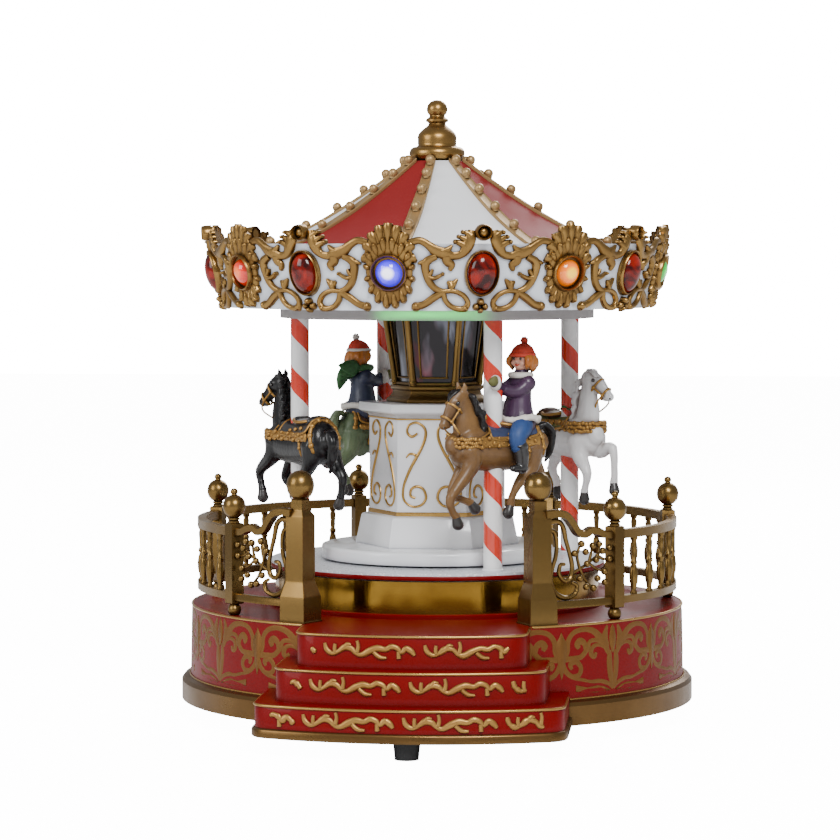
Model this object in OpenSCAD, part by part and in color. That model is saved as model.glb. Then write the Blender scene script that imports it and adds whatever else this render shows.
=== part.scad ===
// Wind-up musical carousel: a lit fairground roundabout on a round base with steps and a fence.
// +Z is up, the steps face -Y, and the origin is on the spin axis at the base's underside.

/* [Base] */
// Outer radius of the gold foot rim
rim_r = 120; // [100:1:160]
// Height of the gold foot rim
rim_h = 11; // [8:0.5:14]
// How far the red wall stands in from the rim
wall_inset = 4; // [3:0.5:6]
// Height of the base from underside to top
base_h = 44.2; // [42:0.1:60]
// Thickness of the base's moulded walls
wall = 2.4; // [2:0.1:3]
// Height of each rubber foot
foot_h = 8; // [7:0.5:12]

/* [Steps] */
// How far the lowest step reaches from the spin axis, over the rim's radius
step_reach = 38.5; // [34:0.5:50]
// Depth of each tread
tread = 9; // [7:0.5:12]
// Half width of the lowest step
step_half_w = 67; // [60:1:75]
// How much narrower each higher step is, on each side
step_in = 8.5; // [6:0.5:10]

/* [Turntable] */
// Radius of the turning platform
platform_r = 78.4; // [74:0.2:90]
// Thickness of the turning platform
platform_t = 3; // [2.5:0.5:5]
// Height of the foil drum under the platform, with its running gap
drum_h = 17.3; // [16:0.1:24]
// Radius of the circle that the poles stand on
pole_circle_r = 68.2; // [62:0.2:72]
// Radius of each striped pole
pole_r = 4.3; // [3.5:0.1:5.5]
// Height of the poles between platform and pole ring
pole_h = 113.1; // [100:0.1:140]
// Angle of the first pole from the front
pole_start = 26.7; // [0:0.1:90]
// Radius of the pole ring under the canopy
pole_ring_r = 73.5; // [70:0.1:90]

/* [Centre] */
// Outer radius of the fixed centre column
column_r = 8; // [7:0.5:10]
// Radius of the raised fixed disc
disc_r = 54.3; // [50:0.1:60]
// Corner radius of the hexagonal pedestal body
pedestal_r = 32; // [28:0.5:36]
// Height of the pedestal, plinth and cap included
pedestal_h = 66.5; // [60:0.5:80]

/* [Canopy] */
// Outer radius of the rounding board at its lower edge
board_low_r = 99; // [92:0.5:120]
// How much further out the board's upper edge is
board_flare = 8.5; // [4:0.5:12]
// Height of the rounding board
board_h = 38; // [32:0.5:46]
// Height of the tent roof from eave to finial
roof_h = 48; // [36:1:60]
// Number of roof panels, alternately red and white
roof_sides = 8; // [8:8:8]
// Height of the finial
finial_h = 27.2; // [22:0.2:34]

/* [Fence] */
// Radius of the fence circle
fence_r = 110.5; // [104:0.5:112]
// Angle of each gate post from the front
gate_angle = 29.5; // [28:0.5:32]
// Angle of the first urn post from the front
first_post_angle = 51; // [48:0.5:54]
// Balusters in each fence section
balusters_per_section = 6; // [4:1:8]

/* [Movement] */
// Gear module of the platform drive
drive_module = 1.5; // [1.5:0.1:1.5]
// Teeth on the platform's internal ring gear
ring_teeth = 90; // [90:12:90]
// Teeth on the drive pinion
pinion_teeth = 12; // [12:1:12]
// Radial running clearance of every shaft in its bore
run_gap = 0.05; // [0.03:0.01:0.08]
// Radius of the recess around the winding key
key_recess_r = 23; // [21:0.5:26]

/* [Hidden] */
$fn = 64;

gold = "goldenrod";
eps = 0.01;

// heights, from the underside up
shell_r = rim_r - wall_inset;
shell_top_r = shell_r - 1;
step_n = 3;
step_front = rim_r + step_reach;
step_rise = base_h / step_n;
platform_gap = 1;
platform_z = base_h + drum_h;
platform_top = platform_z + platform_t;
disc_gap = 0.9;
disc_z = platform_top + disc_gap;
disc_t = 6.1;
pedestal_z = disc_z + disc_t;
plinth_h = 14.5;
ledge_h = 2;
cap_h = 5.4;
plinth_r = pedestal_r + 6.5;
cap_r = pedestal_r + 5;
body_z = pedestal_z + plinth_h + ledge_h;
cap_z = pedestal_z + pedestal_h - cap_h;
lantern_z = pedestal_z + pedestal_h;
lantern_base_h = 8;
pole_ring_z = platform_top + pole_h;
pole_ring_t = 5.4;
plate_gap = 2.5;
plate_z = pole_ring_z + pole_ring_t + plate_gap;
plate_t = 3;
lantern_frame_h = plate_z - lantern_z - lantern_base_h;
board_z = plate_z - 5.5;
board_wall = 2.5;
station_z = board_z + 0.5 * board_h;
roof_low_z = board_z + 0.66 * board_h;
roof_top_r = 12.7;
roof_top_z = roof_low_z + roof_h;
roof_t = 1.8;
roof_low_r = board_low_r + (roof_low_z - roof_t - board_z) * board_flare / board_h - board_wall;
roof_steps = 8;
panel_slices = 4;
rib_start = -6.6;
jewel_start = rib_start + 180 / roof_sides;

// turntable and movement
hub_r = column_r + 4;
hub_h = 8;
bore_r = column_r + run_gap;
ring_pitch_r = ring_teeth * drive_module / 2;
pinion_pitch_r = pinion_teeth * drive_module / 2;
barrel_y = ring_pitch_r - pinion_pitch_r;
gear_h = 6;
arbor_r = 3;
pivot_r = 1.5;
plate_low = 12.5;
barrel_z = 14.6;
barrel_h = 11.8;
barrel_r = 19.6;
crown_r = 18;
crown_teeth = 36;
cylinder_teeth = 12;
cylinder_pitch_r = crown_r * cylinder_teeth / crown_teeth;
crown_pitch_z = barrel_z + barrel_h + 1.2;
cylinder_z = crown_pitch_z + cylinder_pitch_r;
cylinder_r = 6.5;
wheel_x = 47.6;
wheel_teeth = 18;
wheel_module = 0.8;
wheel_tip_r = wheel_teeth * wheel_module / 2 + 0.8 * wheel_module;
leaf_r = 1.6;
leaves = 6;
governor_x = wheel_x + 1.2;
governor_y = barrel_y + wheel_tip_r + leaf_r + 0.15;
box_l = 62;
box_w = 52;
box_h = 17.6;
box_x = -58;
box_y = -18;
cell_r = 7.25;
cell_l = 50.5;
door_t = 1.4;
switch_x = -8;
switch_y = -70;
switch_travel = 4;
boss_r = 4.5;
cup_t = 1.6;
screw_circle_r = shell_r - 6.6;
screw_angles = [-150, -90, -50, 50, 90, 150];
foot_places = [[0, step_front - 10.5], [125, 98], [-125, 98]];

// fence
post_step = (360 - 2 * first_post_angle) / 5;
post_angles = [for (i = [0:5]) first_post_angle + i * post_step];
gate_r = fence_r - 3.5;
rail_low_z = base_h + 7;
rail_low_h = 3.3;
rail_top_z = base_h + 36;
rail_top_h = 4;
rail_w = 4;

// Turns a thing that was built at the front to each of the angles.
module around(angles) {
    for (a = angles) rotate([0, 0, a]) children();
}

// A solid tube with a true bore.
module tube(h, r_out, r_in) {
    difference() {
        cylinder(h = h, r = r_out);
        translate([0, 0, -eps]) cylinder(h = h + 2 * eps, r = r_in);
    }
}

// A coarse rounded bar between two points.
module limb(a, b, ra, rb) {
    hull() {
        translate(a) sphere(r = ra, $fn = 6);
        translate(b) sphere(r = rb, $fn = 6);
    }
}

// A chain of coarse rounded bars through the points.
module chain(points, r) {
    for (i = [0:len(points) - 2]) limb(points[i], points[i + 1], r, r);
}

// A spur gear's outline with straight-sided teeth; tooth 0 points along +X.
// An internal gear is cut with it: deeper makes the gaps deeper, and shorter makes the teeth between them shorter.
module gear_outline(n, m, share = 0.4, deeper = 0, shorter = 0) {
    tip = n * m / 2 + 0.8 * m + deeper;
    root = n * m / 2 - m + shorter;
    low = 360 / n * (share / 2 + 0.07);
    high = 360 / n * (share / 2 - 0.09);
    polygon([for (i = [0:n - 1], s = [[root, -low], [tip, -high], [tip, high], [root, low]])
        s[0] * [cos(i * 360 / n + s[1]), sin(i * 360 / n + s[1])]]);
}

// The plan of step i, counted from the lowest, with its front concentric with the base.
module step_plan(i, grow = 0) {
    half = step_half_w - i * step_in + grow;
    front = step_front - i * tread + grow;
    corner = 10;
    offset(r = corner, $fn = 24) offset(delta = -corner) intersection() {
        circle(r = front, $fn = 160);
        translate([-half, -front]) square([2 * half, front - 0.5 * rim_r]);
    }
}

// ---------- base ----------
module rubber_feet() {
    color("dimgray") for (p = foot_places)
        rotate([0, 0, p[0]]) translate([0, -p[1], -foot_h]) cylinder(h = foot_h, r1 = 5.2, r2 = 6);
}

module bottom_cover() {
    color("maroon") difference() {
        union() {
            cylinder(h = wall, r = rim_r - 3);
            linear_extrude(height = wall) step_plan(0);
            for (s = [-1, 1]) translate([box_x - 29, box_y + s * 26.4 - 1, -2.2])
                cube([box_l - 2, 2, 2.3]);
        }
        translate([0, barrel_y, -eps]) cylinder(h = wall + 1, r = key_recess_r + cup_t);
        translate([0, 0, -eps]) cylinder(h = wall + 1, r = column_r);
        translate([box_x - box_l / 2 + 3, box_y - box_w / 2 + 3, -1]) cube([box_l - 6, box_w - 6, wall + 2]);
        translate([switch_x - 4.4, switch_y - 2.2, -1]) cube([8.8, 4.4, wall + 2]);
        around(screw_angles) translate([0, -screw_circle_r, -eps]) {
            cylinder(h = wall + 1, r = 1.3);
            cylinder(h = 1.4, r = 3);
        }
    }
}

module key_cup() {
    top = plate_low - 0.5;
    color("maroon") translate([0, barrel_y, 0]) {
        tube(top, key_recess_r + cup_t, key_recess_r);
        translate([0, 0, top - cup_t]) tube(cup_t, key_recess_r + eps, arbor_r + run_gap);
    }
}

module screws() {
    color("silver") {
        around(screw_angles) translate([0, -screw_circle_r, 0]) {
            cylinder(h = 1.3, r = 2.9);
            cylinder(h = 14, r = 1.25);
        }
        for (x = [26, 38]) translate([x, barrel_y - 19, cylinder_z - 6]) {
            cylinder(h = 7, r = 1.1);
            translate([0, 0, 6.5]) cylinder(h = 1.4, r = 2.2);
        }
    }
}

module base_rim() {
    color(gold) difference() {
        rotate_extrude($fn = 160) polygon([[rim_r - 3, 0], [rim_r, 0], [rim_r, rim_h - 2.4],
            [rim_r - 1.2, rim_h - 0.8], [shell_r + 0.6, rim_h], [shell_r, rim_h], [shell_r, wall],
            [rim_r - 3, wall]]);
        translate([0, 0, -1]) linear_extrude(height = rim_h + 2) step_plan(0, 0.1);
    }
}

module base_shell() {
    color("firebrick") difference() {
        union() {
            difference() {
                translate([0, 0, wall]) cylinder(h = base_h - wall, r1 = shell_r, r2 = shell_top_r, $fn = 160);
                translate([0, 0, wall - eps])
                    cylinder(h = base_h - 2 * wall + eps, r1 = shell_r - wall, r2 = shell_top_r - wall, $fn = 160);
            }
            around(screw_angles) translate([0, -screw_circle_r, wall]) cylinder(h = 18, r = boss_r);
        }
        translate([0, 0, base_h - 2 * wall]) cylinder(h = 3 * wall, r = column_r + 0.1);
        translate([0, barrel_y, base_h - 2 * wall]) cylinder(h = 3 * wall, r = arbor_r + 0.5);
        around(screw_angles) translate([0, -screw_circle_r, wall - eps]) cylinder(h = 14, r = 1.3);
    }
}

module step_block() {
    color("firebrick") difference() {
        for (i = [0:step_n - 1]) translate([0, 0, wall]) linear_extrude(height = (i + 1) * step_rise - wall)
            step_plan(i);
        for (i = [0:step_n - 1]) translate([0, 0, wall - eps])
            linear_extrude(height = (i + 1) * step_rise - 2 * wall + eps) step_plan(i, -wall);
        translate([0, 0, -1]) cylinder(h = base_h + 2, r = shell_r + 0.1, $fn = 160);
    }
}

module step_rim() {
    color(gold) difference() {
        linear_extrude(height = 4.2) step_plan(0, 1.4);
        translate([0, 0, -1]) linear_extrude(height = 6) step_plan(0, 0.05);
        translate([0, 0, -1]) cylinder(h = 8, r = rim_r + 0.1, $fn = 160);
    }
}

module drum_band() {
    color(gold) translate([0, 0, base_h]) tube(drum_h - platform_gap, platform_r - 2.4, platform_r - 3.6, $fn = 128);
}

// ---------- fence ----------
module square_tier(w, z0, z1) {
    translate([-w / 2, -w / 2, z0]) cube([w, w, z1 - z0]);
}

module gate_posts() {
    color(gold) around([-gate_angle, gate_angle]) translate([0, -gate_r, base_h]) {
        square_tier(14.4, 0, 2);
        square_tier(13, 2, 17.6);
        square_tier(11.4, 17.6, 19);
        square_tier(9.8, 19, 41.6);
        square_tier(8.8, 41.6, 43);
        square_tier(7.6, 43, 53);
        square_tier(9.4, 53, 54.2);
        cylinder(h = 56.4, r = 3);
        translate([0, 0, 60.6]) sphere(r = 5.7);
    }
}

module urn_posts() {
    color(gold) around(post_angles) translate([0, -fence_r, base_h]) rotate_extrude($fn = 32)
        polygon([[0, 0], [1.9, 0.6], [2.8, 2.9], [1.9, 5.2], [1.9, 6.6], [3.4, 7.2], [3.4, 10.4],
            [2.2, 11.6], [2.6, 22], [2.2, 34.6], [3.6, 35.8], [3.6, 40.6], [2, 42.4], [1.8, 44.4],
            [3.4, 46], [5, 49.2], [5, 52], [3.6, 54.4], [1.4, 55.4], [1.7, 56.6], [0, 58]]);
}

module arc_rail(z, h, from, to) {
    translate([0, 0, z]) rotate([0, 0, from - 90]) rotate_extrude(angle = to - from, $fn = 160)
        translate([fence_r - rail_w / 2, 0]) square([rail_w, h]);
}

module fence_rails() {
    color(gold) for (i = [0:4]) {
        arc_rail(rail_low_z, rail_low_h, post_angles[i] + 1, post_angles[i + 1] - 1);
        arc_rail(rail_top_z, rail_top_h, post_angles[i] + 1, post_angles[i + 1] - 1);
    }
}

module balusters() {
    low = rail_low_z + rail_low_h;
    tall = rail_top_z - low;
    pitch = post_step / (balusters_per_section + 1);
    color(gold) for (i = [0:4], k = [1:balusters_per_section])
        rotate([0, 0, post_angles[i] + k * pitch]) translate([0, -fence_r, low]) rotate_extrude($fn = 24)
            polygon([[0, 0], [1.2, 0], [2, 1.4], [1.1, 2.7], [2, 4.1], [1.1, 5.4], [1.9, 6.8], [1.1, 8.2],
                [1.6, tall * 0.55], [1.1, tall - 3], [1.8, tall - 1.6], [1.2, tall], [0, tall]]);
}

// One cast panel between a gate post and the first urn post, side is 1 to the right.
module gate_panel(side) {
    span = first_post_angle - gate_angle;
    function at(f, z) = let (a = side * (gate_angle + f * span), r = gate_r + f * (fence_r - gate_r))
        [r * sin(a), -r * cos(a), base_h + z];
    chain([for (f = [0.12:0.22:1]) at(f, 8.6)], 1.8);
    chain([for (f = [0.12:0.11:1]) at(f, 38 + 14 * pow(1 - f, 2))], 1.8);
    chain([at(0.2, 9), at(0.42, 17), at(0.22, 27), at(0.5, 36)], 1.1);
    chain([at(0.85, 9), at(0.6, 18), at(0.88, 28), at(0.55, 39)], 1.1);
    for (p = [[0.36, 13], [0.68, 14], [0.5, 20], [0.3, 22], [0.76, 23], [0.5, 28], [0.3, 33], [0.72, 33]])
        translate(at(p[0], p[1])) sphere(r = 2.1, $fn = 12);
}

module gate_panels() {
    color(gold) for (side = [-1, 1]) gate_panel(side);
}

// ---------- wind-up musical movement ----------
module movement_plate() {
    color("lightgray") difference() {
        union() {
            translate([-26, barrel_y - 27, plate_low]) cube([84, 52, 1.5]);
            for (x = [-30, 62], y = [-20, 20]) translate([x * 0.82, barrel_y + y, wall])
                cylinder(h = plate_low - wall + eps, r = 2.6, $fn = 24);
            for (x = [20.3, 44.4]) translate([x, barrel_y - 3, plate_low]) cube([1.4, 6, cylinder_z + 3 - plate_low]);
            translate([22, barrel_y - 23, plate_low]) cube([20, 8, cylinder_z - 0.5 - plate_low]);
        }
        translate([0, barrel_y, 0]) cylinder(h = 60, r = arbor_r + run_gap);
        translate([10, barrel_y, cylinder_z]) rotate([0, 90, 0]) cylinder(h = 40, r = pivot_r + run_gap);
        for (x = [26, 38]) translate([x, barrel_y - 19, cylinder_z - 6.2]) cylinder(h = 7, r = 1.15);
    }
}

module comb() {
    tip_y = barrel_y - cylinder_r - 0.75;
    color("silver") difference() {
        translate([22, barrel_y - 23, cylinder_z - 0.5]) cube([20, tip_y - barrel_y + 23, 1]);
        for (i = [1:17]) translate([22 + i * 20 / 18 - 0.15, barrel_y - 14.5, cylinder_z - 1]) cube([0.3, 8, 2]);
        for (x = [26, 38]) translate([x, barrel_y - 19, cylinder_z - 1]) cylinder(h = 2, r = 1.15);
    }
}

module governor_bracket() {
    y0 = governor_y - 3;
    color("lightgray") difference() {
        union() {
            translate([governor_x - 4, y0 + 9, plate_low + 1.5]) cube([8, 1.4, 26]);
            for (z = [plate_low + 1.5, plate_low + 26]) translate([governor_x - 4, y0, z]) cube([8, 10, 1.5]);
        }
        translate([governor_x, governor_y, 10]) cylinder(h = 40, r = 0.8 + run_gap, $fn = 32);
    }
}

module music_cylinder() {
    color("gold") translate([0, barrel_y, cylinder_z]) rotate([0, 90, 0]) {
        translate([0, 0, 16.6]) linear_extrude(height = 2.8) gear_outline(cylinder_teeth, 1, 0.36);
        translate([0, 0, 15.6]) cylinder(h = 35.4, r = pivot_r);
        translate([0, 0, 22.2]) cylinder(h = 21.6, r = cylinder_r);
        translate([0, 0, wheel_x]) linear_extrude(height = 2.4) gear_outline(wheel_teeth, wheel_module);
        for (i = [0:17]) rotate([0, 0, i * 97]) translate([cylinder_r - 0.3, 0, 22.9 + i * 20 / 18])
            rotate([0, 90, 0]) cylinder(h = 0.8, r = 0.3, $fn = 16);
    }
}

module spring_barrel() {
    color("gold") translate([0, barrel_y, barrel_z]) {
        difference() {
            cylinder(h = barrel_h, r = barrel_r);
            translate([0, 0, 1.4]) cylinder(h = barrel_h - 2.8, r = barrel_r - 3);
            translate([0, 0, -eps]) cylinder(h = 3, r = arbor_r + run_gap);
        }
        for (i = [0:crown_teeth - 1]) rotate([0, 0, (i + 0.5) * 360 / crown_teeth])
            translate([crown_r - 1.4, -0.5, barrel_h - eps]) cube([2.8, 1, 2]);
    }
}

module mainspring() {
    turns = 7;
    steps = turns * 24;
    grow = (barrel_r - 4.2 - arbor_r - 1.2) / steps;
    spiral = [for (i = [0:steps]) [arbor_r + 1.2 + grow * i, i * 15]];
    color("slategray") translate([0, barrel_y, barrel_z + 1.8]) linear_extrude(height = barrel_h - 3.6)
        polygon(concat([for (p = spiral) p[0] * [cos(p[1]), sin(p[1])]],
            [for (i = [steps:-1:0]) (spiral[i][0] + 0.5) * [cos(spiral[i][1]), sin(spiral[i][1])]]));
}

module drive_pinion() {
    top = platform_z - 1.4;
    color("gold") translate([0, barrel_y, 0]) {
        translate([0, 0, barrel_z + barrel_h]) cylinder(h = top - barrel_z - barrel_h, r = arbor_r);
        translate([0, 0, top - gear_h]) linear_extrude(height = gear_h) gear_outline(pinion_teeth, drive_module, 0.3);
    }
}

module winding_key() {
    color("silver") translate([0, barrel_y, 0]) {
        translate([0, 0, 4]) cylinder(h = barrel_z + barrel_h - 6, r = arbor_r);
        difference() {
            translate([-16, -1.2, -3]) cube([32, 2.4, 11.6]);
            for (s = [-1, 1]) translate([s * 9.6, 0, 2.8]) rotate([90, 0, 0]) cylinder(h = 6, r = 3.4, center = true);
        }
        translate([0, 0, -3]) cylinder(h = 12, r = 4.4);
    }
}

module governor() {
    low = plate_low + 1.7;
    color("gold") translate([governor_x, governor_y, low]) {
        cylinder(h = 26, r = 0.8);
        translate([0, 0, 14]) linear_extrude(height = 9, twist = -200, slices = 8)
            polygon([for (i = [0:2 * leaves - 1]) (i % 2 == 0 ? leaf_r : leaf_r - 0.5) * [cos(i * 30), sin(i * 30)]]);
        for (s = [-1, 1]) translate([s * 1.9 - 1.9, -0.25, 3.2]) cube([3.8, 0.5, 7]);
        translate([0, 0, 3]) cylinder(h = 7.4, r = 1.3);
    }
}

// ---------- battery light supply ----------
module battery_box() {
    color("dimgray") difference() {
        translate([box_x - box_l / 2, box_y - box_w / 2, wall]) cube([box_l, box_w, box_h]);
        translate([box_x - box_l / 2 + 1.8, box_y - box_w / 2 + 1.8, wall - 1])
            cube([box_l - 3.6, box_w - 3.6, box_h - 0.8]);
    }
}

module battery_cells() {
    color("seagreen") for (i = [-1:1]) translate([box_x - cell_l / 2, box_y + i * 15.6, wall + 8.2])
        rotate([0, 90, 0]) {
            cylinder(h = cell_l - 1.2, r = cell_r);
            cylinder(h = cell_l, r = 2.6);
        }
}

module battery_door() {
    color("maroon") translate([box_x - 29, box_y - 25, -door_t - 0.2]) difference() {
        cube([box_l - 2, 50, door_t]);
        for (i = [0:4]) translate([6 + i * 2.4, 17, -eps]) cube([1.2, 16, 0.5]);
    }
}

module light_switch() {
    color("dimgray") translate([switch_x - switch_travel / 2, switch_y, 0]) {
        translate([-2, -1.9, -1.6]) cube([4, 3.8, wall + 2]);
        translate([-4.5, -4, wall + 0.2]) cube([9, 8, 2]);
    }
}

module led_wires() {
    color("red") for (s = [-1, 1]) {
        translate([s * 1.6, -3, box_h - 1]) cylinder(h = plate_z - box_h + 2, r = 0.8, $fn = 16);
        translate([box_x + box_l / 2, s * 1.4 - 4.4, box_h]) rotate([0, 90, 0])
            cylinder(h = -box_x - box_l / 2 - 1, r = 0.8, $fn = 16);
    }
}

// ---------- fixed centre ----------
module centre_column() {
    color("lightgray") difference() {
        union() {
            cylinder(h = plate_z, r = column_r);
            translate([0, 0, wall]) cylinder(h = 3, r = column_r + 8);
            translate([0, 0, base_h - wall - 3]) cylinder(h = 3, r = column_r + 8);
            translate([0, 0, base_h]) cylinder(h = drum_h - hub_h - 0.2, r = hub_r);
            translate([0, 0, disc_z - 0.6]) cylinder(h = 0.6, r = hub_r);
        }
        translate([0, 0, -1]) cylinder(h = plate_z + 2, r = column_r - 2.4);
        translate([0, -6, box_h]) rotate([0, -90, 0]) cylinder(h = 2 * column_r, r = 4);
    }
}

module raised_disc() {
    color("white") translate([0, 0, disc_z]) tube(disc_t, disc_r, column_r, $fn = 128);
}

// A hexagonal solid with a flat to the front, its corner radii given, and the column's bore.
module hex(h, r1, r2, hole = column_r) {
    difference() {
        cylinder(h = h, r1 = r1, r2 = r2, $fn = 6);
        translate([0, 0, -1]) cylinder(h = h + 2, r = hole);
    }
}

module pedestal_plinth() {
    color("white") translate([0, 0, pedestal_z]) {
        hex(4, plinth_r, plinth_r);
        translate([0, 0, 4]) hex(plinth_h - 4, plinth_r - 0.6, pedestal_r + 2);
    }
}

module pedestal_body() {
    color("white") translate([0, 0, pedestal_z + plinth_h]) {
        hex(ledge_h, pedestal_r + 2.4, pedestal_r + 2.4);
        translate([0, 0, ledge_h]) hex(cap_z - body_z, pedestal_r, pedestal_r);
    }
}

module pedestal_cap() {
    color("white") translate([0, 0, cap_z]) {
        hex(1.6, pedestal_r + 1, cap_r - 0.6);
        translate([0, 0, 1.6]) hex(cap_h - 1.6, cap_r, cap_r);
    }
}

module pedestal_scrolls() {
    face = pedestal_r * cos(30);
    mid = (body_z + cap_z) / 2;
    tall = (cap_z - body_z) * 0.36;
    color(gold) for (a = [0:60:300], s = [-1, 1]) rotate([0, 0, a])
        chain([for (t = [0:0.2:1]) [s * (7 + 3.4 * sin(t * 360)), -face - 0.2, mid - tall + 2 * tall * t]], 0.8);
}

module lantern_base() {
    color(gold) translate([0, 0, lantern_z]) {
        hex(2.4, 24, 24);
        translate([0, 0, 2.4]) hex(3.2, 22.6, 20.6);
        translate([0, 0, 5.6]) hex(2.4, 22, 22);
    }
}

module lantern_frame() {
    low_r = 21;
    high_r = 26.5;
    color(gold) translate([0, 0, lantern_z + lantern_base_h]) {
        for (a = [0:60:300]) hull() {
            rotate([0, 0, a]) translate([low_r - 1.6, 0, 0]) cylinder(h = 0.1, r = 1.8, $fn = 12);
            rotate([0, 0, a]) translate([high_r - 1.6, 0, lantern_frame_h - 2.4]) cylinder(h = 0.1, r = 1.8, $fn = 12);
        }
        translate([0, 0, lantern_frame_h - 2.4]) hex(2.4, high_r + 1, high_r + 1);
    }
}

module lantern_mirrors() {
    color("slategray") translate([0, 0, lantern_z + lantern_base_h])
        hex(lantern_frame_h - 2.4, 18.8, 23.6);
}

// ---------- canopy ----------
function board_r(z) = board_low_r + (z - board_z) * board_flare / board_h;
function roof_r(t) = roof_top_r + t * (roof_low_r - roof_top_r);
function roof_z(t) = roof_low_z + roof_h * pow(1 - t, 1.5);

module canopy_plate() {
    color("whitesmoke") translate([0, 0, plate_z]) difference() {
        cylinder(h = plate_t, r1 = board_r(plate_z) - board_wall, r2 = board_r(plate_z + plate_t) - board_wall,
            $fn = 128);
        translate([0, 0, -1]) cylinder(h = plate_t + 2, r = column_r - 2.4);
    }
}

module rounding_board() {
    low = board_low_r;
    high = board_low_r + board_flare;
    color("aliceblue") translate([0, 0, board_z]) rotate_extrude($fn = 128)
        polygon([[low - board_wall, 0], [low, 0], [high, board_h], [high - board_wall, board_h]]);
}

// One roof panel between two ribs: flat across at the finial and round at the eave.
module roof_panel(i) {
    span = 360 / roof_sides;
    a0 = rib_start + i * span - 90;
    n = roof_steps;
    w = panel_slices;
    function across(j, t) = let (off = j / w - 0.5)
        1 - (1 - t) * (1 - cos(span / 2) / cos(off * span));
    pts = [for (dz = [0, -roof_t], k = [0:n], j = [0:w]) let (r = roof_r(k / n) * across(j, k / n),
        a = a0 + j * span / w) [r * cos(a), r * sin(a), roof_z(k / n) + dz]];
    row = w + 1;
    m = row * (n + 1);
    polyhedron(points = pts, convexity = 4, faces = concat(
        [for (k = [0:n - 1], j = [0:w - 1], f = [0, 1]) let (q = k * row + j)
            f == 0 ? [q, q + 1, q + row] : [q + 1, q + row + 1, q + row]],
        [for (k = [0:n - 1], j = [0:w - 1], f = [0, 1]) let (q = m + k * row + j)
            f == 0 ? [q, q + row, q + 1] : [q + 1, q + row, q + row + 1]],
        [for (k = [0:n - 1]) let (q = k * row) [q, q + row, q + row + m, q + m]],
        [for (k = [0:n - 1]) let (q = k * row + w) [q, q + m, q + row + m, q + row]],
        [for (j = [0:w - 1]) [j, j + m, j + 1 + m, j + 1]],
        [for (j = [0:w - 1]) let (q = n * row + j) [q, q + 1, q + 1 + m, q + m]]));
}

module roof_panels_red() {
    color("firebrick") for (i = [1:2:roof_sides - 1]) roof_panel(i);
}

module roof_panels_white() {
    color("whitesmoke") for (i = [0:2:roof_sides - 2]) roof_panel(i);
}

module roof_ribs() {
    n = roof_steps;
    color(gold) around([for (i = [0:roof_sides - 1]) rib_start + i * 360 / roof_sides]) rotate([90, 0, -90])
        translate([0, 0, -2.25]) linear_extrude(height = 4.5) polygon(concat(
            [for (k = [0:n]) [roof_r(k / n), roof_z(k / n) + 1.2]],
            [for (k = [n:-1:0]) [roof_r(k / n), roof_z(k / n) - 0.4]]));
}

module rib_beads() {
    color(gold) around([for (i = [0:roof_sides - 1]) rib_start + i * 360 / roof_sides]) for (k = [0:5]) {
        r = 16 + k * 7.4 + k * k * 1.1;
        t = (r - roof_top_r) / (roof_low_r - roof_top_r);
        translate([0, -r, roof_z(t) + 2.6]) sphere(r = 2, $fn = 24);
    }
}

module finial() {
    s = finial_h / 27.2;
    color(gold) translate([0, 0, roof_top_z - 1]) rotate_extrude() polygon([[0, -2], [roof_top_r - 1, -2],
        [roof_top_r + 0.4, 0], [roof_top_r, 3.2 * s], [9.6, 5.6 * s], [8.9, 7 * s], [9, 9.6 * s],
        [7.4, 12.8 * s], [4.2, 15 * s], [4, 16.2 * s], [5.2, 17 * s], [5.2, 18.4 * s], [3.6, 19.2 * s],
        [4.7, 21.2 * s], [4.8, 23.4 * s], [3.2, 26.2 * s], [0, 27.2 * s]]);
}

function flared(a, z, out) = let (r = board_r(z) + out) [r * sin(a), -r * cos(a), z];

module fretwork() {
    half = 180 / (2 * roof_sides);
    low = board_z + 3;
    high = board_z + board_h - 4;
    color(gold) {
        for (i = [0:2 * roof_sides - 1]) {
            a = rib_start + i * 2 * half;
            chain([flared(a, low, 2.4), flared(a + half * 0.7, low + 5, 2.4), flared(a + 2 * half, low, 2.4)], 1.5);
            chain([flared(a + 0.5 * half, low + 8, 2.4), flared(a + half, station_z, 2.4),
                flared(a + 1.5 * half, low + 8, 2.4)], 1.4);
            chain([flared(a, high, 2.4), flared(a + half, high - 7, 2.4), flared(a + 2 * half, high, 2.4)], 1.5);
        }
    }
}

// Leans a medallion outwards with the flared board at its station.
module on_board(a) {
    rotate([0, 0, a]) translate([0, -board_r(station_z), station_z]) rotate([90 + atan(board_flare / board_h), 0, 0])
        children();
}

module shell_medallions() {
    color(gold) for (i = [0:roof_sides - 1]) on_board(rib_start + i * 360 / roof_sides) {
        translate([0, 0, 1]) difference() {
            linear_extrude(height = 4) union() {
                circle(r = 10.5);
                translate([-9, -13]) square([18, 14]);
                for (k = [-3:3]) rotate([0, 0, k * 21]) translate([0, 13.5]) circle(r = 3.2, $fn = 20);
            }
            cylinder(h = 10, r = 6.4);
        }
    }
}

module jewels() {
    color("darkred") for (i = [0:roof_sides - 1]) on_board(jewel_start + i * 360 / roof_sides)
        translate([0, 0, 1]) resize([15, 20, 9]) intersection() {
            sphere(r = 10, $fn = 20);
            cylinder(h = 20, r = 20);
        }
}

module led_lenses() {
    color("mediumpurple") for (i = [0:roof_sides - 1]) on_board(rib_start + i * 360 / roof_sides)
        translate([0, 0, 1]) rotate_extrude($fn = 32) polygon([[0, 0], [6.2, 0], [6.2, 2.4], [5, 4.4], [2.6, 5.6], [0, 6]]);
}

module led_board() {
    color("seagreen") translate([0, 0, plate_z + plate_t]) tube(1.6, board_r(plate_z) - board_wall - 3,
        board_r(plate_z) - board_wall - 13, $fn = 96);
}

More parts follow.
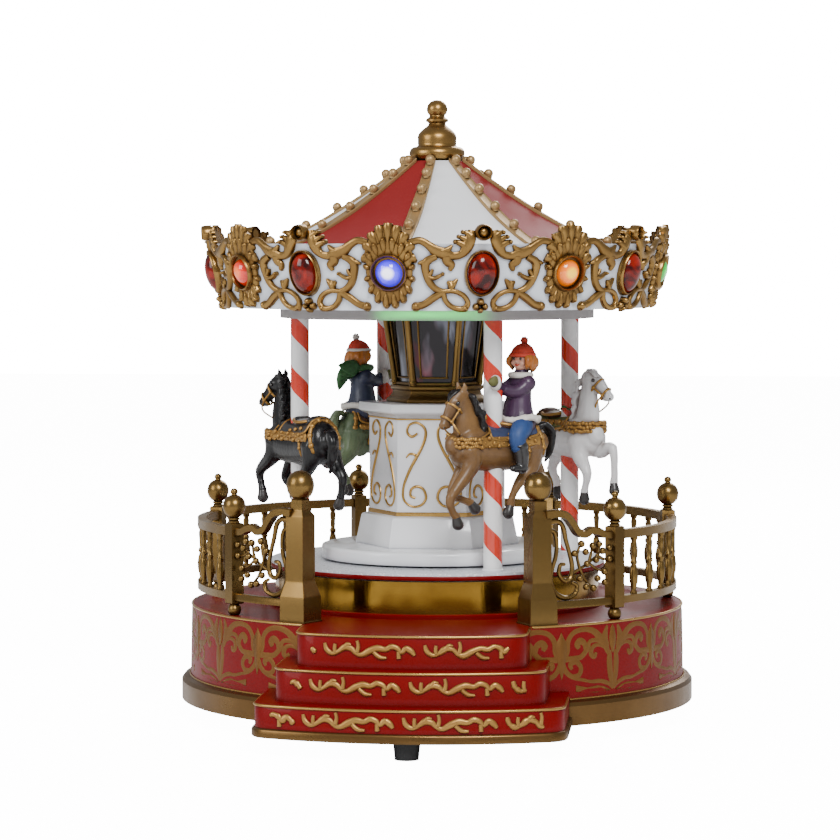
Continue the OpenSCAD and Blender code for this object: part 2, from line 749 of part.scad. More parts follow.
// ---------- turntable ----------
module platform() {
    color("white") difference() {
        union() {
            translate([0, 0, platform_z]) cylinder(h = platform_t, r = platform_r, $fn = 128);
            translate([0, 0, platform_z - hub_h]) cylinder(h = hub_h + 1, r = hub_r);
        }
        translate([0, 0, platform_z - hub_h - 1]) cylinder(h = hub_h + platform_t + 2, r = bore_r);
    }
}

module ring_gear() {
    color("lightgray") translate([0, 0, platform_z - gear_h - 2]) difference() {
        cylinder(h = gear_h + 2, r = ring_pitch_r + 5, $fn = 128);
        translate([0, 0, -1]) linear_extrude(height = gear_h + 4) rotate([0, 0, 180 / ring_teeth])
            gear_outline(ring_teeth, drive_module, 0.66, 0.4, 0.35);
    }
}

pole_angles = [for (i = [0:3]) pole_start + i * 90];

module poles() {
    color("tomato") around(pole_angles) translate([0, -pole_circle_r, platform_top])
        cylinder(h = pole_h, r = pole_r);
}

module pole_ring() {
    color("gray") translate([0, 0, pole_ring_z]) tube(pole_ring_t, pole_ring_r, 34, $fn = 128);
}

// A leaping horse at the front pole, heading for -X and turned a little outwards on its pole.
belly_z = platform_top + 45;
heading = 11;
module on_pole(i) {
    rotate([0, 0, pole_angles[i]]) translate([0, -pole_circle_r, belly_z]) rotate([0, 0, heading])
        difference() {
            children();
            translate([0, 0, -50]) cylinder(h = 200, r = pole_r + 0.1);
        }
}

module horse() {
    limb([15, 0, 11.5], [-13, 0, 10.5], 8.5, 8.5);
    limb([-13, 0, 14], [-18, 0, 31], 7, 4.5);
    limb([-17, 0, 33], [-26, 0, 22], 4.6, 2.8);
    limb([-17, 0, 36], [-18, 0, 40], 1.8, 0.8);
    limb([-12, 0, 32], [-6, 0, 20], 2.6, 2);
    limb([-14, 4.5, 4], [-26, 4.5, -10], 4.2, 2.6);
    limb([-26, 4.5, -10], [-23, 4.5, -20], 2.4, 2);
    limb([-11, -4.5, 2], [-18, -4.5, -9.5], 4, 2.6);
    limb([-18, -4.5, -9.5], [-8, -4.5, -14], 2.2, 2);
    limb([17, 4.5, 5], [12, 4.5, -5], 5.5, 3);
    limb([12, 4.5, -5], [7, 4.5, -16], 2.4, 2);
    limb([20, -4.5, 6], [29, -4.5, -3], 5.5, 3);
    limb([29, -4.5, -3], [28, -4.5, -15], 2.4, 2);
    limb([24, 0, 17], [28, 0, 12], 2.5, 3.5);
    limb([28, 0, 12], [26, 0, 4], 3.5, 1.2);
}

module brown_horse() { color("peru") on_pole(0) horse(); }
module white_horse() { color("white") on_pole(1) horse(); }
module green_horse() { color("darkseagreen") on_pole(2) horse(); }
module black_horse() { color("black") on_pole(3) horse(); }

module saddles() {
    color(gold) for (i = [0:3]) on_pole(i) difference() {
        translate([3, 0, 13]) resize([20, 20, 16]) sphere(r = 8, $fn = 12);
        translate([0, 0, 9.5]) rotate([0, 90, 0]) cylinder(h = 60, r = 8.8, center = true, $fn = 24);
    }
}

// A seated rider behind the pole, hands on it.
module rider() {
    limb([14, 0, 25], [14, 0, 36], 7, 5.5);
    limb([15.5, 0, 46], [16, 0, 49], 5.4, 5.4);
    limb([16, 0, 53], [19, 0, 57], 4, 2);
    for (s = [-1, 1]) {
        limb([13, s * 5, 37], [4, s * 7, 35], 3, 2.4);
        limb([12, s * 6, 22], [7, s * 10, 15], 3.8, 3);
        limb([7, s * 10, 15], [9, s * 11, 5], 3, 2.4);
        limb([9, s * 11, 4], [4, s * 11, 2.4], 2.4, 2);
    }
}

module girl_rider() { color("purple") on_pole(0) rider(); }
module boy_rider() { color("navy") on_pole(2) rider(); }

rubber_feet();
bottom_cover();
key_cup();
screws();
base_rim();
base_shell();
step_block();
step_rim();
drum_band();
gate_posts();
urn_posts();
fence_rails();
balusters();
gate_panels();
movement_plate();
comb();
governor_bracket();
battery_box();
battery_cells();
centre_column();
led_wires();
raised_disc();
pedestal_plinth();
pedestal_body();
pedestal_cap();
pedestal_scrolls();
lantern_base();
lantern_frame();
lantern_mirrors();
canopy_plate();
roof_panels_red();
roof_panels_white();
roof_ribs();
rib_beads();
finial();
rounding_board();
fretwork();
shell_medallions();
jewels();
led_lenses();
led_board();
platform();
ring_gear();
poles();
pole_ring();
brown_horse();
white_horse();
black_horse();
green_horse();
saddles();
girl_rider();
boy_rider();
music_cylinder();
spring_barrel();
mainspring();
drive_pinion();
winding_key();
governor();
battery_door();
light_switch();
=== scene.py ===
"""Looks of a wind-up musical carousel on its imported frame. Lengths are in mm until a mesh is made."""
import math

import bmesh
import bpy
from mathutils import Matrix, Vector


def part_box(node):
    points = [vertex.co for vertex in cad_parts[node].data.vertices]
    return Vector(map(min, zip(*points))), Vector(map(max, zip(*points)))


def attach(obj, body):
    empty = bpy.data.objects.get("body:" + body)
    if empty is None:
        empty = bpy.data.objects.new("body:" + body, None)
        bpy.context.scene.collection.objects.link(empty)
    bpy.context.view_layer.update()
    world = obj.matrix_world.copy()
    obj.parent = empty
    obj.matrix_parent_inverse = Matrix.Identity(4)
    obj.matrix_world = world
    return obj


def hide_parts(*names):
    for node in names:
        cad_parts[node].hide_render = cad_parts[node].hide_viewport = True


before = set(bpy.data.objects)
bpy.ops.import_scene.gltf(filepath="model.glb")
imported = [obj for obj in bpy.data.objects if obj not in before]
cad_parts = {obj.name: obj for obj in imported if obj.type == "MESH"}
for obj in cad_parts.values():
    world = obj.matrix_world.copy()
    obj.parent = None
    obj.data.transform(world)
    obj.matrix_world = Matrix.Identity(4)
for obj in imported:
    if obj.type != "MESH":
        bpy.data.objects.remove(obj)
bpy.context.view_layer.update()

MM = 0.001
POLE_START = 26.7
RIB_START = -6.6
JEWEL_START = 15.9
GATE_ANGLE = 29.5
FIRST_POST = 51.0
SECTIONS = 5
POST_STEP = (360 - 2 * FIRST_POST) / SECTIONS


def low(node):
    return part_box(node)[0] / MM


def high(node):
    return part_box(node)[1] / MM


# ---------------------------------------------------------------- shapes
def sind(a):
    return math.sin(math.radians(a))


def cosd(a):
    return math.cos(math.radians(a))


def spline(points, per=6, closed=False):
    """A smooth curve through the points, with `per` steps between two of them."""
    pts = [Vector(p) for p in points]
    n = len(pts)
    out = []
    for i in range(n if closed else n - 1):
        if closed:
            a, b, c, d = (pts[(i + k) % n] for k in (-1, 0, 1, 2))
        else:
            a, b, c, d = pts[max(i - 1, 0)], pts[i], pts[i + 1], pts[min(i + 2, n - 1)]
        for k in range(per):
            t = k / per
            out.append(0.5 * ((2 * b) + (c - a) * t + (2 * a - 5 * b + 4 * c - d) * t * t
                              + (3 * b - 3 * c + d - a) * t ** 3))
    if not closed:
        out.append(pts[-1])
    return out


def spread(values, count):
    """Values given at even places along a path, read off at `count` places."""
    last = len(values) - 1
    out = []
    for i in range(count):
        t = i / max(count - 1, 1) * last
        k = min(int(t), last - 1) if last else 0
        out.append(values[k] + (values[min(k + 1, last)] - values[k]) * (t - k))
    return out


def bands(rows, n):
    """Quads between rows of n points, each row a closed ring."""
    return [[r * n + i, r * n + (i + 1) % n, (r + 1) * n + (i + 1) % n, (r + 1) * n + i]
            for r in range(rows - 1) for i in range(n)]


def caps(rows, n):
    """The two faces that close the first and the last of those rows."""
    return [list(range(n))[::-1], [(rows - 1) * n + i for i in range(n)]]


def sheet(rows, cols):
    """Faces of a thin sheet whose points are listed for one side, then for the other."""
    w = cols + 1
    m = w * (rows + 1)
    faces = []
    for i in range(rows):
        for j in range(cols):
            q = i * w + j
            faces += [[q, q + 1, q + w + 1, q + w], [m + q, m + q + w, m + q + w + 1, m + q + 1]]
    for i in range(rows):
        faces += [[q, q + w, q + w + m, q + m] for q in (i * w, i * w + cols)]
    for j in range(cols):
        faces += [[q, q + 1, q + 1 + m, q + m] for q in (j, rows * w + j)]
    return faces


def lifted(profile, z):
    """A profile of (radius, height) points, raised by z."""
    return [(r, z + h) for r, h in profile]


class Shape:
    """Faces gathered for one mesh, in mm."""

    def __init__(self):
        self.verts = []
        self.faces = []

    def add(self, verts, faces):
        start = len(self.verts)
        self.verts += [Vector(v) for v in verts]
        self.faces += [[i + start for i in face] for face in faces]
        return self

    def move(self, matrix):
        self.verts = [matrix @ v for v in self.verts]
        return self

    def join(self, other, matrix):
        return self.add([matrix @ v for v in other.verts], other.faces)

    def lathe(self, profile, segs=48, closed=False, matrix=None, phase=0.0):
        """Spins (radius, height) points, listed upwards along the outside, about +Z."""
        verts, rings = [], []
        for r, z in profile:
            if r < 1e-5:
                rings.append([len(verts)])
                verts.append(Vector((0, 0, z)))
                continue
            rings.append(list(range(len(verts), len(verts) + segs)))
            verts += [Vector((r * math.cos(phase + 2 * math.pi * i / segs),
                              r * math.sin(phase + 2 * math.pi * i / segs), z)) for i in range(segs)]
        faces = []
        pairs = list(zip(rings, rings[1:] + rings[:1])) if closed else list(zip(rings, rings[1:]))
        for a, b in pairs:
            for i in range(segs):
                j = (i + 1) % segs
                loop = [a[i % len(a)], a[j % len(a)], b[j % len(b)], b[i % len(b)]]
                face = [v for k, v in enumerate(loop) if v not in loop[:k]]
                if len(face) > 2:
                    faces.append(face)
        if not closed:
            if len(rings[0]) > 1:
                faces.append(rings[0][::-1])
            if len(rings[-1]) > 1:
                faces.append(rings[-1])
        if matrix is not None:
            verts = [matrix @ v for v in verts]
        return self.add(verts, faces)

    def ball(self, centre, radii, segs=16):
        """An ellipsoid."""
        if not hasattr(radii, "__len__"):
            radii = (radii,) * 3
        place = Matrix.Translation(centre) @ Matrix.Diagonal((*radii, 1))
        rings = segs // 2
        profile = [(math.sin(math.pi * i / rings), -math.cos(math.pi * i / rings)) for i in range(rings + 1)]
        profile[0], profile[-1] = (0, -1), (0, 1)
        return self.lathe(profile, segs, matrix=place)

    def tube(self, path, radii, sides=10, flat=1.0, across=None, round_ends=True):
        """A bar along a 3-D path. flat squeezes it along the direction `across`."""
        path = [Vector(p) for p in path]
        radii = spread(list(radii), len(path)) if hasattr(radii, "__len__") else [radii] * len(path)
        if round_ends:
            head = (path[0] - path[1]).normalized()
            tail = (path[-1] - path[-2]).normalized()
            first = [(path[0] + head * radii[0] * cosd(a), radii[0] * sind(a)) for a in (12, 40, 68)]
            final = [(path[-1] + tail * radii[-1] * cosd(a), radii[-1] * sind(a)) for a in (68, 40, 12)]
            path = [p for p, r in first] + path + [p for p, r in final]
            radii = [r for p, r in first] + radii + [r for p, r in final]
        side = None
        verts = []
        for i, p in enumerate(path):
            ahead = (path[min(i + 1, len(path) - 1)] - path[max(i - 1, 0)]).normalized()
            if across:
                guide = Vector(across)
            elif side is None:
                guide = Vector((0, 0, 1)) if abs(ahead.z) < 0.9 else Vector((0, 1, 0))
            else:
                guide = side
            side = (guide - ahead * guide.dot(ahead)).normalized()
            other = ahead.cross(side)
            for k in range(sides):
                a = 2 * math.pi * k / sides
                verts.append(p + radii[i] * (side * math.cos(a) * flat + other * math.sin(a)))
        return self.add(verts, bands(len(path), sides) + caps(len(path), sides))

    def relief(self, path, widths, place, height=1.0, back=-0.3, sides=6, dome=1.0):
        """A half-round ridge along (u, v) points, laid on a surface by place(u, v, out)."""
        path = [Vector((p[0], p[1])) for p in path]
        widths = spread(list(widths), len(path)) if hasattr(widths, "__len__") else [widths] * len(path)
        verts = []
        ring = sides + 3
        for i, p in enumerate(path):
            ahead = path[min(i + 1, len(path) - 1)] - path[max(i - 1, 0)]
            ahead = ahead.normalized() if ahead.length > 1e-6 else Vector((1, 0))
            across = Vector((-ahead.y, ahead.x))
            w = max(widths[i], 0.02) / 2
            lift = height * min(1.0, 0.35 + widths[i] / max(max(widths), 1e-6) * 0.65)
            loop = [(w, back)] + [(w * math.cos(math.pi * k / sides),
                                   lift * math.sin(math.pi * k / sides) ** dome)
                                  for k in range(sides + 1)] + [(-w, back)]
            for c, n in loop:
                q = p + across * c
                verts.append(place(q.x, q.y, n))
        return self.add(verts, [face[::-1] for face in bands(len(path), ring) + caps(len(path), ring)])

    def stud(self, u, v, r, place, height=None, segs=12, back=-0.3):
        """A half ball on a surface."""
        height = r if height is None else height
        rings = [(r, back)] + [(r * cosd(a), height * sind(a)) for a in (0, 25, 50, 72)]
        verts = [place(u + q * math.cos(2 * math.pi * k / segs), v + q * math.sin(2 * math.pi * k / segs), n)
                 for q, n in rings for k in range(segs)] + [place(u, v, height)]
        last = (len(rings) - 1) * segs
        fan = [[last + k, last + (k + 1) % segs, len(verts) - 1] for k in range(segs)]
        return self.add(verts, bands(len(rings), segs) + fan + [list(range(segs))[::-1]])

    def slab(self, outline, place, height=1.0, back=-0.3, edge=0.35):
        """A flat shape with a softened edge, laid on a surface."""
        pts = [Vector((p[0], p[1])) for p in outline]
        area = sum(a.x * b.y - b.x * a.y for a, b in zip(pts, pts[1:] + pts[:1]))
        if area < 0:
            pts.reverse()
        n = len(pts)
        inner = []
        for i, p in enumerate(pts):
            t = (pts[(i + 1) % n] - pts[i - 1]).normalized()
            inner.append(p + Vector((-t.y, t.x)) * edge)
        rows = [(pts, back), (pts, height - edge), (inner, height)]
        verts = [place(p.x, p.y, out) for row, out in rows for p in row]
        return self.add(verts, bands(3, n) + caps(3, n)[::-1])


def spiral(cx, cy, r0, r1, a0, a1, count=14):
    """Points of a curl from radius r0 at angle a0 to r1 at a1, in degrees."""
    return [(cx + (r0 + (r1 - r0) * k / count) * cosd(a0 + (a1 - a0) * k / count),
             cy + (r0 + (r1 - r0) * k / count) * sind(a0 + (a1 - a0) * k / count)) for k in range(count + 1)]


def turn_z(a):
    return Matrix.Rotation(math.radians(a), 4, "Z")


def outwards(mesh, weld=True):
    """Points every closed part's faces outwards."""
    bm = bmesh.new()
    bm.from_mesh(mesh)
    if weld:
        bmesh.ops.remove_doubles(bm, verts=bm.verts, dist=1e-4 * MM)
    bmesh.ops.recalc_face_normals(bm, faces=bm.faces)
    bm.to_mesh(mesh)
    bm.free()


def soften(mesh, angle=40):
    mesh.shade_smooth()
    mesh.set_sharp_from_angle(angle=math.radians(angle))


def to_object(name, shape, material):
    mesh = bpy.data.meshes.new(name)
    mesh.from_pydata([tuple(v * MM) for v in shape.verts], [], shape.faces)
    mesh.validate()
    thing = bpy.data.objects.new(name, mesh)
    bpy.context.scene.collection.objects.link(thing)
    if material:
        mesh.materials.append(material)
    return thing


def applied(thing):
    """The object with its modifiers made part of its mesh."""
    graph = bpy.context.evaluated_depsgraph_get()
    mesh = bpy.data.meshes.new_from_object(thing.evaluated_get(graph))
    thing.modifiers.clear()
    thing.data = mesh
    return thing


def place(thing, body, slot, *nodes):
    """Rides a finished piece on its body and hides the CAD nodes it stands for; slot is not used."""
    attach(thing, body)
    if nodes:
        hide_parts(*nodes)
    return thing


def piece(name, shape, material, body, slot, *nodes, angle=40, bevel=0):
    """A finished piece, with its edges softened by bevel where it is given."""
    thing = to_object(name, shape, material)
    outwards(thing.data)
    if bevel:
        mod = thing.modifiers.new("edge", "BEVEL")
        mod.width = bevel * MM
        mod.segments = 2
        mod.limit_method = "ANGLE"
        mod.angle_limit = math.radians(32)
        applied(thing)
    soften(thing.data, angle)
    return place(thing, body, slot, *nodes)


def ring_tree():
    """Geometry nodes: repeats what they are given about +Z, count times, from start by step degrees."""
    tree = bpy.data.node_groups.new("repeat_around", "GeometryNodeTree")
    for name, kind in (("Geometry", "NodeSocketGeometry"), ("Count", "NodeSocketInt"),
                       ("Start", "NodeSocketFloat"), ("Step", "NodeSocketFloat"),
                       ("Material", "NodeSocketMaterial")):
        tree.interface.new_socket(name, in_out="INPUT", socket_type=kind)
    tree.interface.new_socket("Geometry", in_out="OUTPUT", socket_type="NodeSocketGeometry")
    nodes, links = tree.nodes, tree.links
    inp, out = nodes.new("NodeGroupInput"), nodes.new("NodeGroupOutput")
    line = nodes.new("GeometryNodeMeshLine")
    line.inputs["Offset"].default_value = (0, 0, 0)
    index = nodes.new("GeometryNodeInputIndex")
    times = nodes.new("ShaderNodeMath")
    times.operation = "MULTIPLY_ADD"
    angle = nodes.new("ShaderNodeMath")
    angle.operation = "RADIANS"
    spin = nodes.new("ShaderNodeCombineXYZ")
    instance = nodes.new("GeometryNodeInstanceOnPoints")
    real = nodes.new("GeometryNodeRealizeInstances")
    coat = nodes.new("GeometryNodeSetMaterial")
    links.new(inp.outputs["Count"], line.inputs["Count"])
    links.new(index.outputs[0], times.inputs[0])
    links.new(inp.outputs["Step"], times.inputs[1])
    links.new(inp.outputs["Start"], times.inputs[2])
    links.new(times.outputs[0], angle.inputs[0])
    links.new(angle.outputs[0], spin.inputs["Z"])
    links.new(line.outputs["Mesh"], instance.inputs["Points"])
    links.new(inp.outputs["Geometry"], instance.inputs["Instance"])
    links.new(spin.outputs[0], instance.inputs["Rotation"])
    links.new(instance.outputs["Instances"], real.inputs["Geometry"])
    links.new(real.outputs["Geometry"], coat.inputs["Geometry"])
    links.new(inp.outputs["Material"], coat.inputs["Material"])
    links.new(coat.outputs["Geometry"], out.inputs["Geometry"])
    return tree


RING_TREE = ring_tree()


def ring_of(thing, material, count, start, step, angle=40):
    """Repeats an object built at the front about the spin axis and bakes it."""
    mod = thing.modifiers.new("ring", "NODES")
    mod.node_group = RING_TREE
    values = {"Count": count, "Start": float(start), "Step": float(step), "Material": material}
    for item in RING_TREE.interface.items_tree:
        if item.in_out == "INPUT" and item.name in values:
            mod[item.identifier] = values[item.name]
    applied(thing)
    soften(thing.data, angle)
    return thing


def around(name, shape, material, count, start, step, body, slot, *nodes, angle=40):
    """A finished piece, repeated about the spin axis."""
    thing = to_object(name, shape, material)
    outwards(thing.data)
    return place(ring_of(thing, material, count, start, step, angle), body, slot, *nodes)


# ---------------------------------------------------------------- finishes
class Group:
    """A shader node group with named inputs and outputs."""

    def __init__(self, name, inputs, outputs):
        self.tree = bpy.data.node_groups.new(name, "ShaderNodeTree")
        for label, kind, value in inputs:
            socket = self.tree.interface.new_socket(label, in_out="INPUT", socket_type="NodeSocket" + kind)
            socket.default_value = value
        for label, kind in outputs:
            self.tree.interface.new_socket(label, in_out="OUTPUT", socket_type="NodeSocket" + kind)
        self.inp = self.tree.nodes.new("NodeGroupInput")
        self.out = self.tree.nodes.new("NodeGroupOutput")

    def node(self, kind, values=(), **settings):
        return add_node(self.tree, kind, values, **settings)


def add_node(tree, kind, values=(), **settings):
    """A node with its settings, and its inputs linked or given values."""
    node = tree.nodes.new("ShaderNode" + kind)
    for key, value in settings.items():
        setattr(node, key, value)
    for key, value in dict(values).items():
        if isinstance(value, bpy.types.NodeSocket):
            tree.links.new(value, node.inputs[key])
        else:
            node.inputs[key].default_value = value
    return node


def mixed(tree, factor, a, b):
    """A colour mix's result socket."""
    node = tree.nodes.new("ShaderNodeMix")
    node.data_type = "RGBA"
    for index, value in ((0, factor), (6, a), (7, b)):
        if isinstance(value, bpy.types.NodeSocket):
            tree.links.new(value, node.inputs[index])
        else:
            node.inputs[index].default_value = value
    return node.outputs[2]


def ranged(tree, value, low_in, high_in, low_out=0.0, high_out=1.0):
    node = add_node(tree, "MapRange", {0: value, 1: low_in, 2: high_in, 3: low_out, 4: high_out})
    return node.outputs[0]


def object_at(tree, scale=None):
    """Object coordinates, stretched by scale where it is given."""
    at = add_node(tree, "TexCoord").outputs["Object"]
    return add_node(tree, "Mapping", {"Vector": at, "Scale": scale}).outputs[0] if scale else at


def noise_at(tree, at, scale, detail=2.0, distortion=0.0):
    """The value of a noise pattern."""
    values = {"Vector": at, "Scale": scale, "Detail": detail, "Distortion": distortion}
    return add_node(tree, "TexNoise", values).outputs["Fac"]


def mottle_group():
    """Two colours in soft patches, painted shade in hollows and between parts, and a fine uneven skin."""
    g = Group("mottled_finish",
              [("Colour", "Color", (0.8, 0.8, 0.8, 1)), ("Shade", "Color", (0.4, 0.4, 0.4, 1)),
               ("Hollow shade", "Color", (0.1, 0.06, 0.03, 1)), ("Patch scale", "Float", 60.0),
               ("Patch", "Float", 0.4),
               ("Hollow shade amount", "Float", 0.5), ("Hollow shade reach", "Float", 0.002), ("Roughness", "Float", 0.4),
               ("Roughness spread", "Float", 0.1), ("Grain scale", "Float", 900.0)],
              [("Colour", "Color"), ("Roughness", "Float"), ("Grain", "Float")])
    t, i = g.tree, g.inp.outputs
    at = object_at(t)
    spots = ranged(t, noise_at(t, at, i["Patch scale"], 4.0), 0.35, 0.65)
    share = g.node("Math", {0: spots, 1: i["Patch"]}, operation="MULTIPLY").outputs[0]
    toned = mixed(t, share, i["Colour"], i["Shade"])
    # painted shade: ambient occlusion darkens hollows, creases and the gaps between parts towards the hollow
    # colour; on the golds it stands partly for their dark wash
    hollow = g.node("AmbientOcclusion", {"Distance": i["Hollow shade reach"]}, samples=6).outputs["AO"]
    deep = ranged(t, hollow, 0.95, 0.35)
    shade_share = g.node("Math", {0: deep, 1: i["Hollow shade amount"]}, operation="MULTIPLY").outputs[0]
    colour = mixed(t, shade_share, toned, i["Hollow shade"])
    fine = noise_at(t, at, i["Grain scale"], 3.0)
    wave = ranged(t, spots, 0.0, 1.0, -0.5, 0.5)
    gloss = g.node("Math", {0: wave, 1: i["Roughness spread"], 2: i["Roughness"]},
                   operation="MULTIPLY_ADD").outputs[0]
    worn = g.node("Math", {0: shade_share, 1: 0.25, 2: gloss}, operation="MULTIPLY_ADD", use_clamp=True).outputs[0]
    t.links.new(colour, g.out.inputs["Colour"])
    t.links.new(worn, g.out.inputs["Roughness"])
    t.links.new(fine, g.out.inputs["Grain"])
    return t


MOTTLE = mottle_group()
SKIN_DEPTHS = (0.002, 0.001, 0.0007)


def finish(name, colour, shade=None, rough=0.4, spread_of=0.1, metal=0.0, coat=0.0, coat_rough=0.08,
           hollow_shade=None,
           hollow_shade_amount=0.5, reach=0.002, patch=0.4, patch_scale=60.0, grain=900.0, bump=0.15, depth=0.00003,
           subsurface=0.0, gloss=0.5):
    """A Principled material on the mottled finish, with painted shade laid in its hollows by ambient
    occlusion.
    """
    m = bpy.data.materials.new(name)
    m.use_nodes = True
    t = m.node_tree
    shader = t.nodes["Principled BSDF"]
    g = t.nodes.new("ShaderNodeGroup")
    g.node_tree = MOTTLE
    g.name = "mottle"
    shade = shade or tuple(c * 0.7 for c in colour)
    # the colour of the painted shade in hollows: a quarter of the colour unless given
    hollow_shade = hollow_shade or tuple(c * 0.25 for c in colour)
    for key, value in (("Colour", (*colour, 1)), ("Shade", (*shade, 1)), ("Hollow shade", (*hollow_shade, 1)),
                       ("Patch scale", patch_scale), ("Patch", patch), ("Hollow shade amount", hollow_shade_amount),
                       ("Hollow shade reach", reach), ("Roughness", rough), ("Roughness spread", spread_of),
                       ("Grain scale", grain)):
        g.inputs[key].default_value = value
    t.links.new(g.outputs["Colour"], shader.inputs["Base Color"])
    t.links.new(g.outputs["Roughness"], shader.inputs["Roughness"])
    dent = add_node(t, "Bump", {"Strength": bump, "Distance": depth, "Height": g.outputs["Grain"]})
    dent.name = "bump"
    t.links.new(dent.outputs["Normal"], shader.inputs["Normal"])
    for key, value in (("Metallic", metal), ("Coat Weight", coat), ("Coat Roughness", coat_rough),
                       ("Specular IOR Level", gloss), ("Subsurface Weight", subsurface),
                       ("Subsurface Radius", SKIN_DEPTHS)):
        shader.inputs[key].default_value = value
    return m


def shader_of(m):
    return m.node_tree.nodes["Principled BSDF"]


def recolour(m, socket):
    """Puts another colour in front of the mottled finish."""
    m.node_tree.links.new(socket, m.node_tree.nodes["mottle"].inputs["Colour"])
    m.node_tree.links.new(socket, m.node_tree.nodes["mottle"].inputs["Shade"])


def raise_bump(m, height, depth, strength=0.6):
    """Swaps the fine grain for a coarser pattern."""
    dent = m.node_tree.nodes["bump"]
    m.node_tree.links.new(height, dent.inputs["Height"])
    dent.inputs["Distance"].default_value = depth
    dent.inputs["Strength"].default_value = strength


GOLD = (0.34, 0.2, 0.062)
# dark brown of the painted shade in the golds' hollows, partly their own dark wash
GOLD_WASH_AND_SHADE = (0.035, 0.015, 0.004)
# brass in patches of tone, with painted shade in hollows and between parts
BRASS_PATCHES_AND_SHADE = dict(hollow_shade=GOLD_WASH_AND_SHADE, hollow_shade_amount=0.8, reach=0.003, patch=0.5, patch_scale=38, bump=0.3,
                 depth=0.00008)
antique_gold = finish("antique_gold", GOLD, (0.17, 0.09, 0.028), rough=0.3, spread_of=0.14, metal=0.95,
                      hollow_shade=GOLD_WASH_AND_SHADE,
                      hollow_shade_amount=0.85, reach=0.0016, patch=0.55, patch_scale=45, grain=700, bump=0.3,
                      depth=0.00008)
worn_brass = finish("worn_brass", (0.22, 0.135, 0.042), (0.14, 0.078, 0.022), rough=0.3, spread_of=0.12,
                    metal=0.95, **BRASS_PATCHES_AND_SHADE)
print_gold = finish("printed_gold", (0.17, 0.078, 0.018), (0.13, 0.055, 0.014), rough=0.45, metal=0.4,
                    gloss=0.2, hollow_shade_amount=0.0, patch_scale=90, bump=0.1)
rim_brass = finish("rim_brass", (0.17, 0.093, 0.03), (0.1, 0.05, 0.015), rough=0.32, spread_of=0.12,
                   metal=0.9, **BRASS_PATCHES_AND_SHADE)
rib_gold = finish("rib_gold", (0.42, 0.27, 0.115), (0.3, 0.18, 0.07), rough=0.42, metal=0.6, hollow_shade=GOLD_WASH_AND_SHADE,
                  hollow_shade_amount=0.6, reach=0.0016, patch=0.5, patch_scale=60, grain=700, bump=0.25,
                  depth=0.00006)
line_gold = finish("gold_line", (0.5, 0.3, 0.09), (0.34, 0.19, 0.05), rough=0.3, metal=0.9, hollow_shade=GOLD_WASH_AND_SHADE,
                   hollow_shade_amount=0.3, patch_scale=120)
red_lacquer = finish("red_lacquer", (0.17, 0.0004, 0.001), (0.13, 0.0003, 0.0007), rough=0.4, spread_of=0.06,
                     coat=0.1,
                     coat_rough=0.04, hollow_shade=(0.04, 0.001, 0.001), hollow_shade_amount=0.55, reach=0.003, patch=0.35,
                     patch_scale=28, grain=260, bump=0.1, depth=0.00006, gloss=0.12)
red_satin = finish("red_satin", (0.24, 0.018, 0.018), (0.19, 0.013, 0.013), rough=0.6, gloss=0.12,
                   hollow_shade_amount=0.4, reach=0.004, patch_scale=22, grain=500)
white_satin = finish("white_satin", (0.86, 0.87, 0.89), (0.8, 0.82, 0.85), rough=0.5, coat=0.1,
                     coat_rough=0.3,
                     hollow_shade=(0.3, 0.3, 0.32), hollow_shade_amount=0.4, reach=0.004, patch_scale=22, grain=500)
board_white = finish("board_white", (0.72, 0.77, 0.84), (0.62, 0.68, 0.77), rough=0.4, coat=0.3,
                     coat_rough=0.2, hollow_shade=(0.2, 0.2, 0.24), hollow_shade_amount=0.6, reach=0.004, patch_scale=30)
white_gloss = finish("white_gloss", (0.84, 0.85, 0.87), (0.78, 0.8, 0.83), rough=0.22, spread_of=0.05,
                     coat=0.6,
                     coat_rough=0.05, hollow_shade=(0.32, 0.33, 0.38), hollow_shade_amount=0.5, reach=0.003, patch_scale=25,
                     grain=300, bump=0.06)
grey_plastic = finish("grey_plastic", (0.36, 0.34, 0.34), (0.28, 0.26, 0.27), rough=0.4, hollow_shade_amount=0.3)
black_rubber = finish("black_rubber", (0.012, 0.012, 0.013), rough=0.6, grain=1500, bump=0.3, depth=0.00006)
cover_plastic = finish("cover_plastic", (0.12, 0.012, 0.012), rough=0.45, hollow_shade_amount=0.4, grain=1100,
                       bump=0.35, depth=0.00006)
dark_plastic = finish("dark_plastic", (0.025, 0.025, 0.028), rough=0.42, grain=1200, bump=0.3, depth=0.00005)
steel = finish("steel", (0.55, 0.56, 0.58), (0.42, 0.42, 0.44), rough=0.3, metal=1.0,
               hollow_shade=(0.08, 0.07, 0.06), hollow_shade_amount=0.4)
movement_brass = finish("movement_brass", (0.68, 0.46, 0.18), (0.5, 0.32, 0.12), rough=0.28, metal=1.0)
gear_plastic = finish("gear_plastic", (0.7, 0.69, 0.66), rough=0.4, subsurface=0.1)
cell_wrap = finish("cell_wrap", (0.06, 0.07, 0.09), rough=0.3, coat=0.5)
board_green = finish("board_green", (0.02, 0.13, 0.05), rough=0.35, coat=0.4)
wire_red = finish("wire_red", (0.4, 0.02, 0.02), rough=0.4)


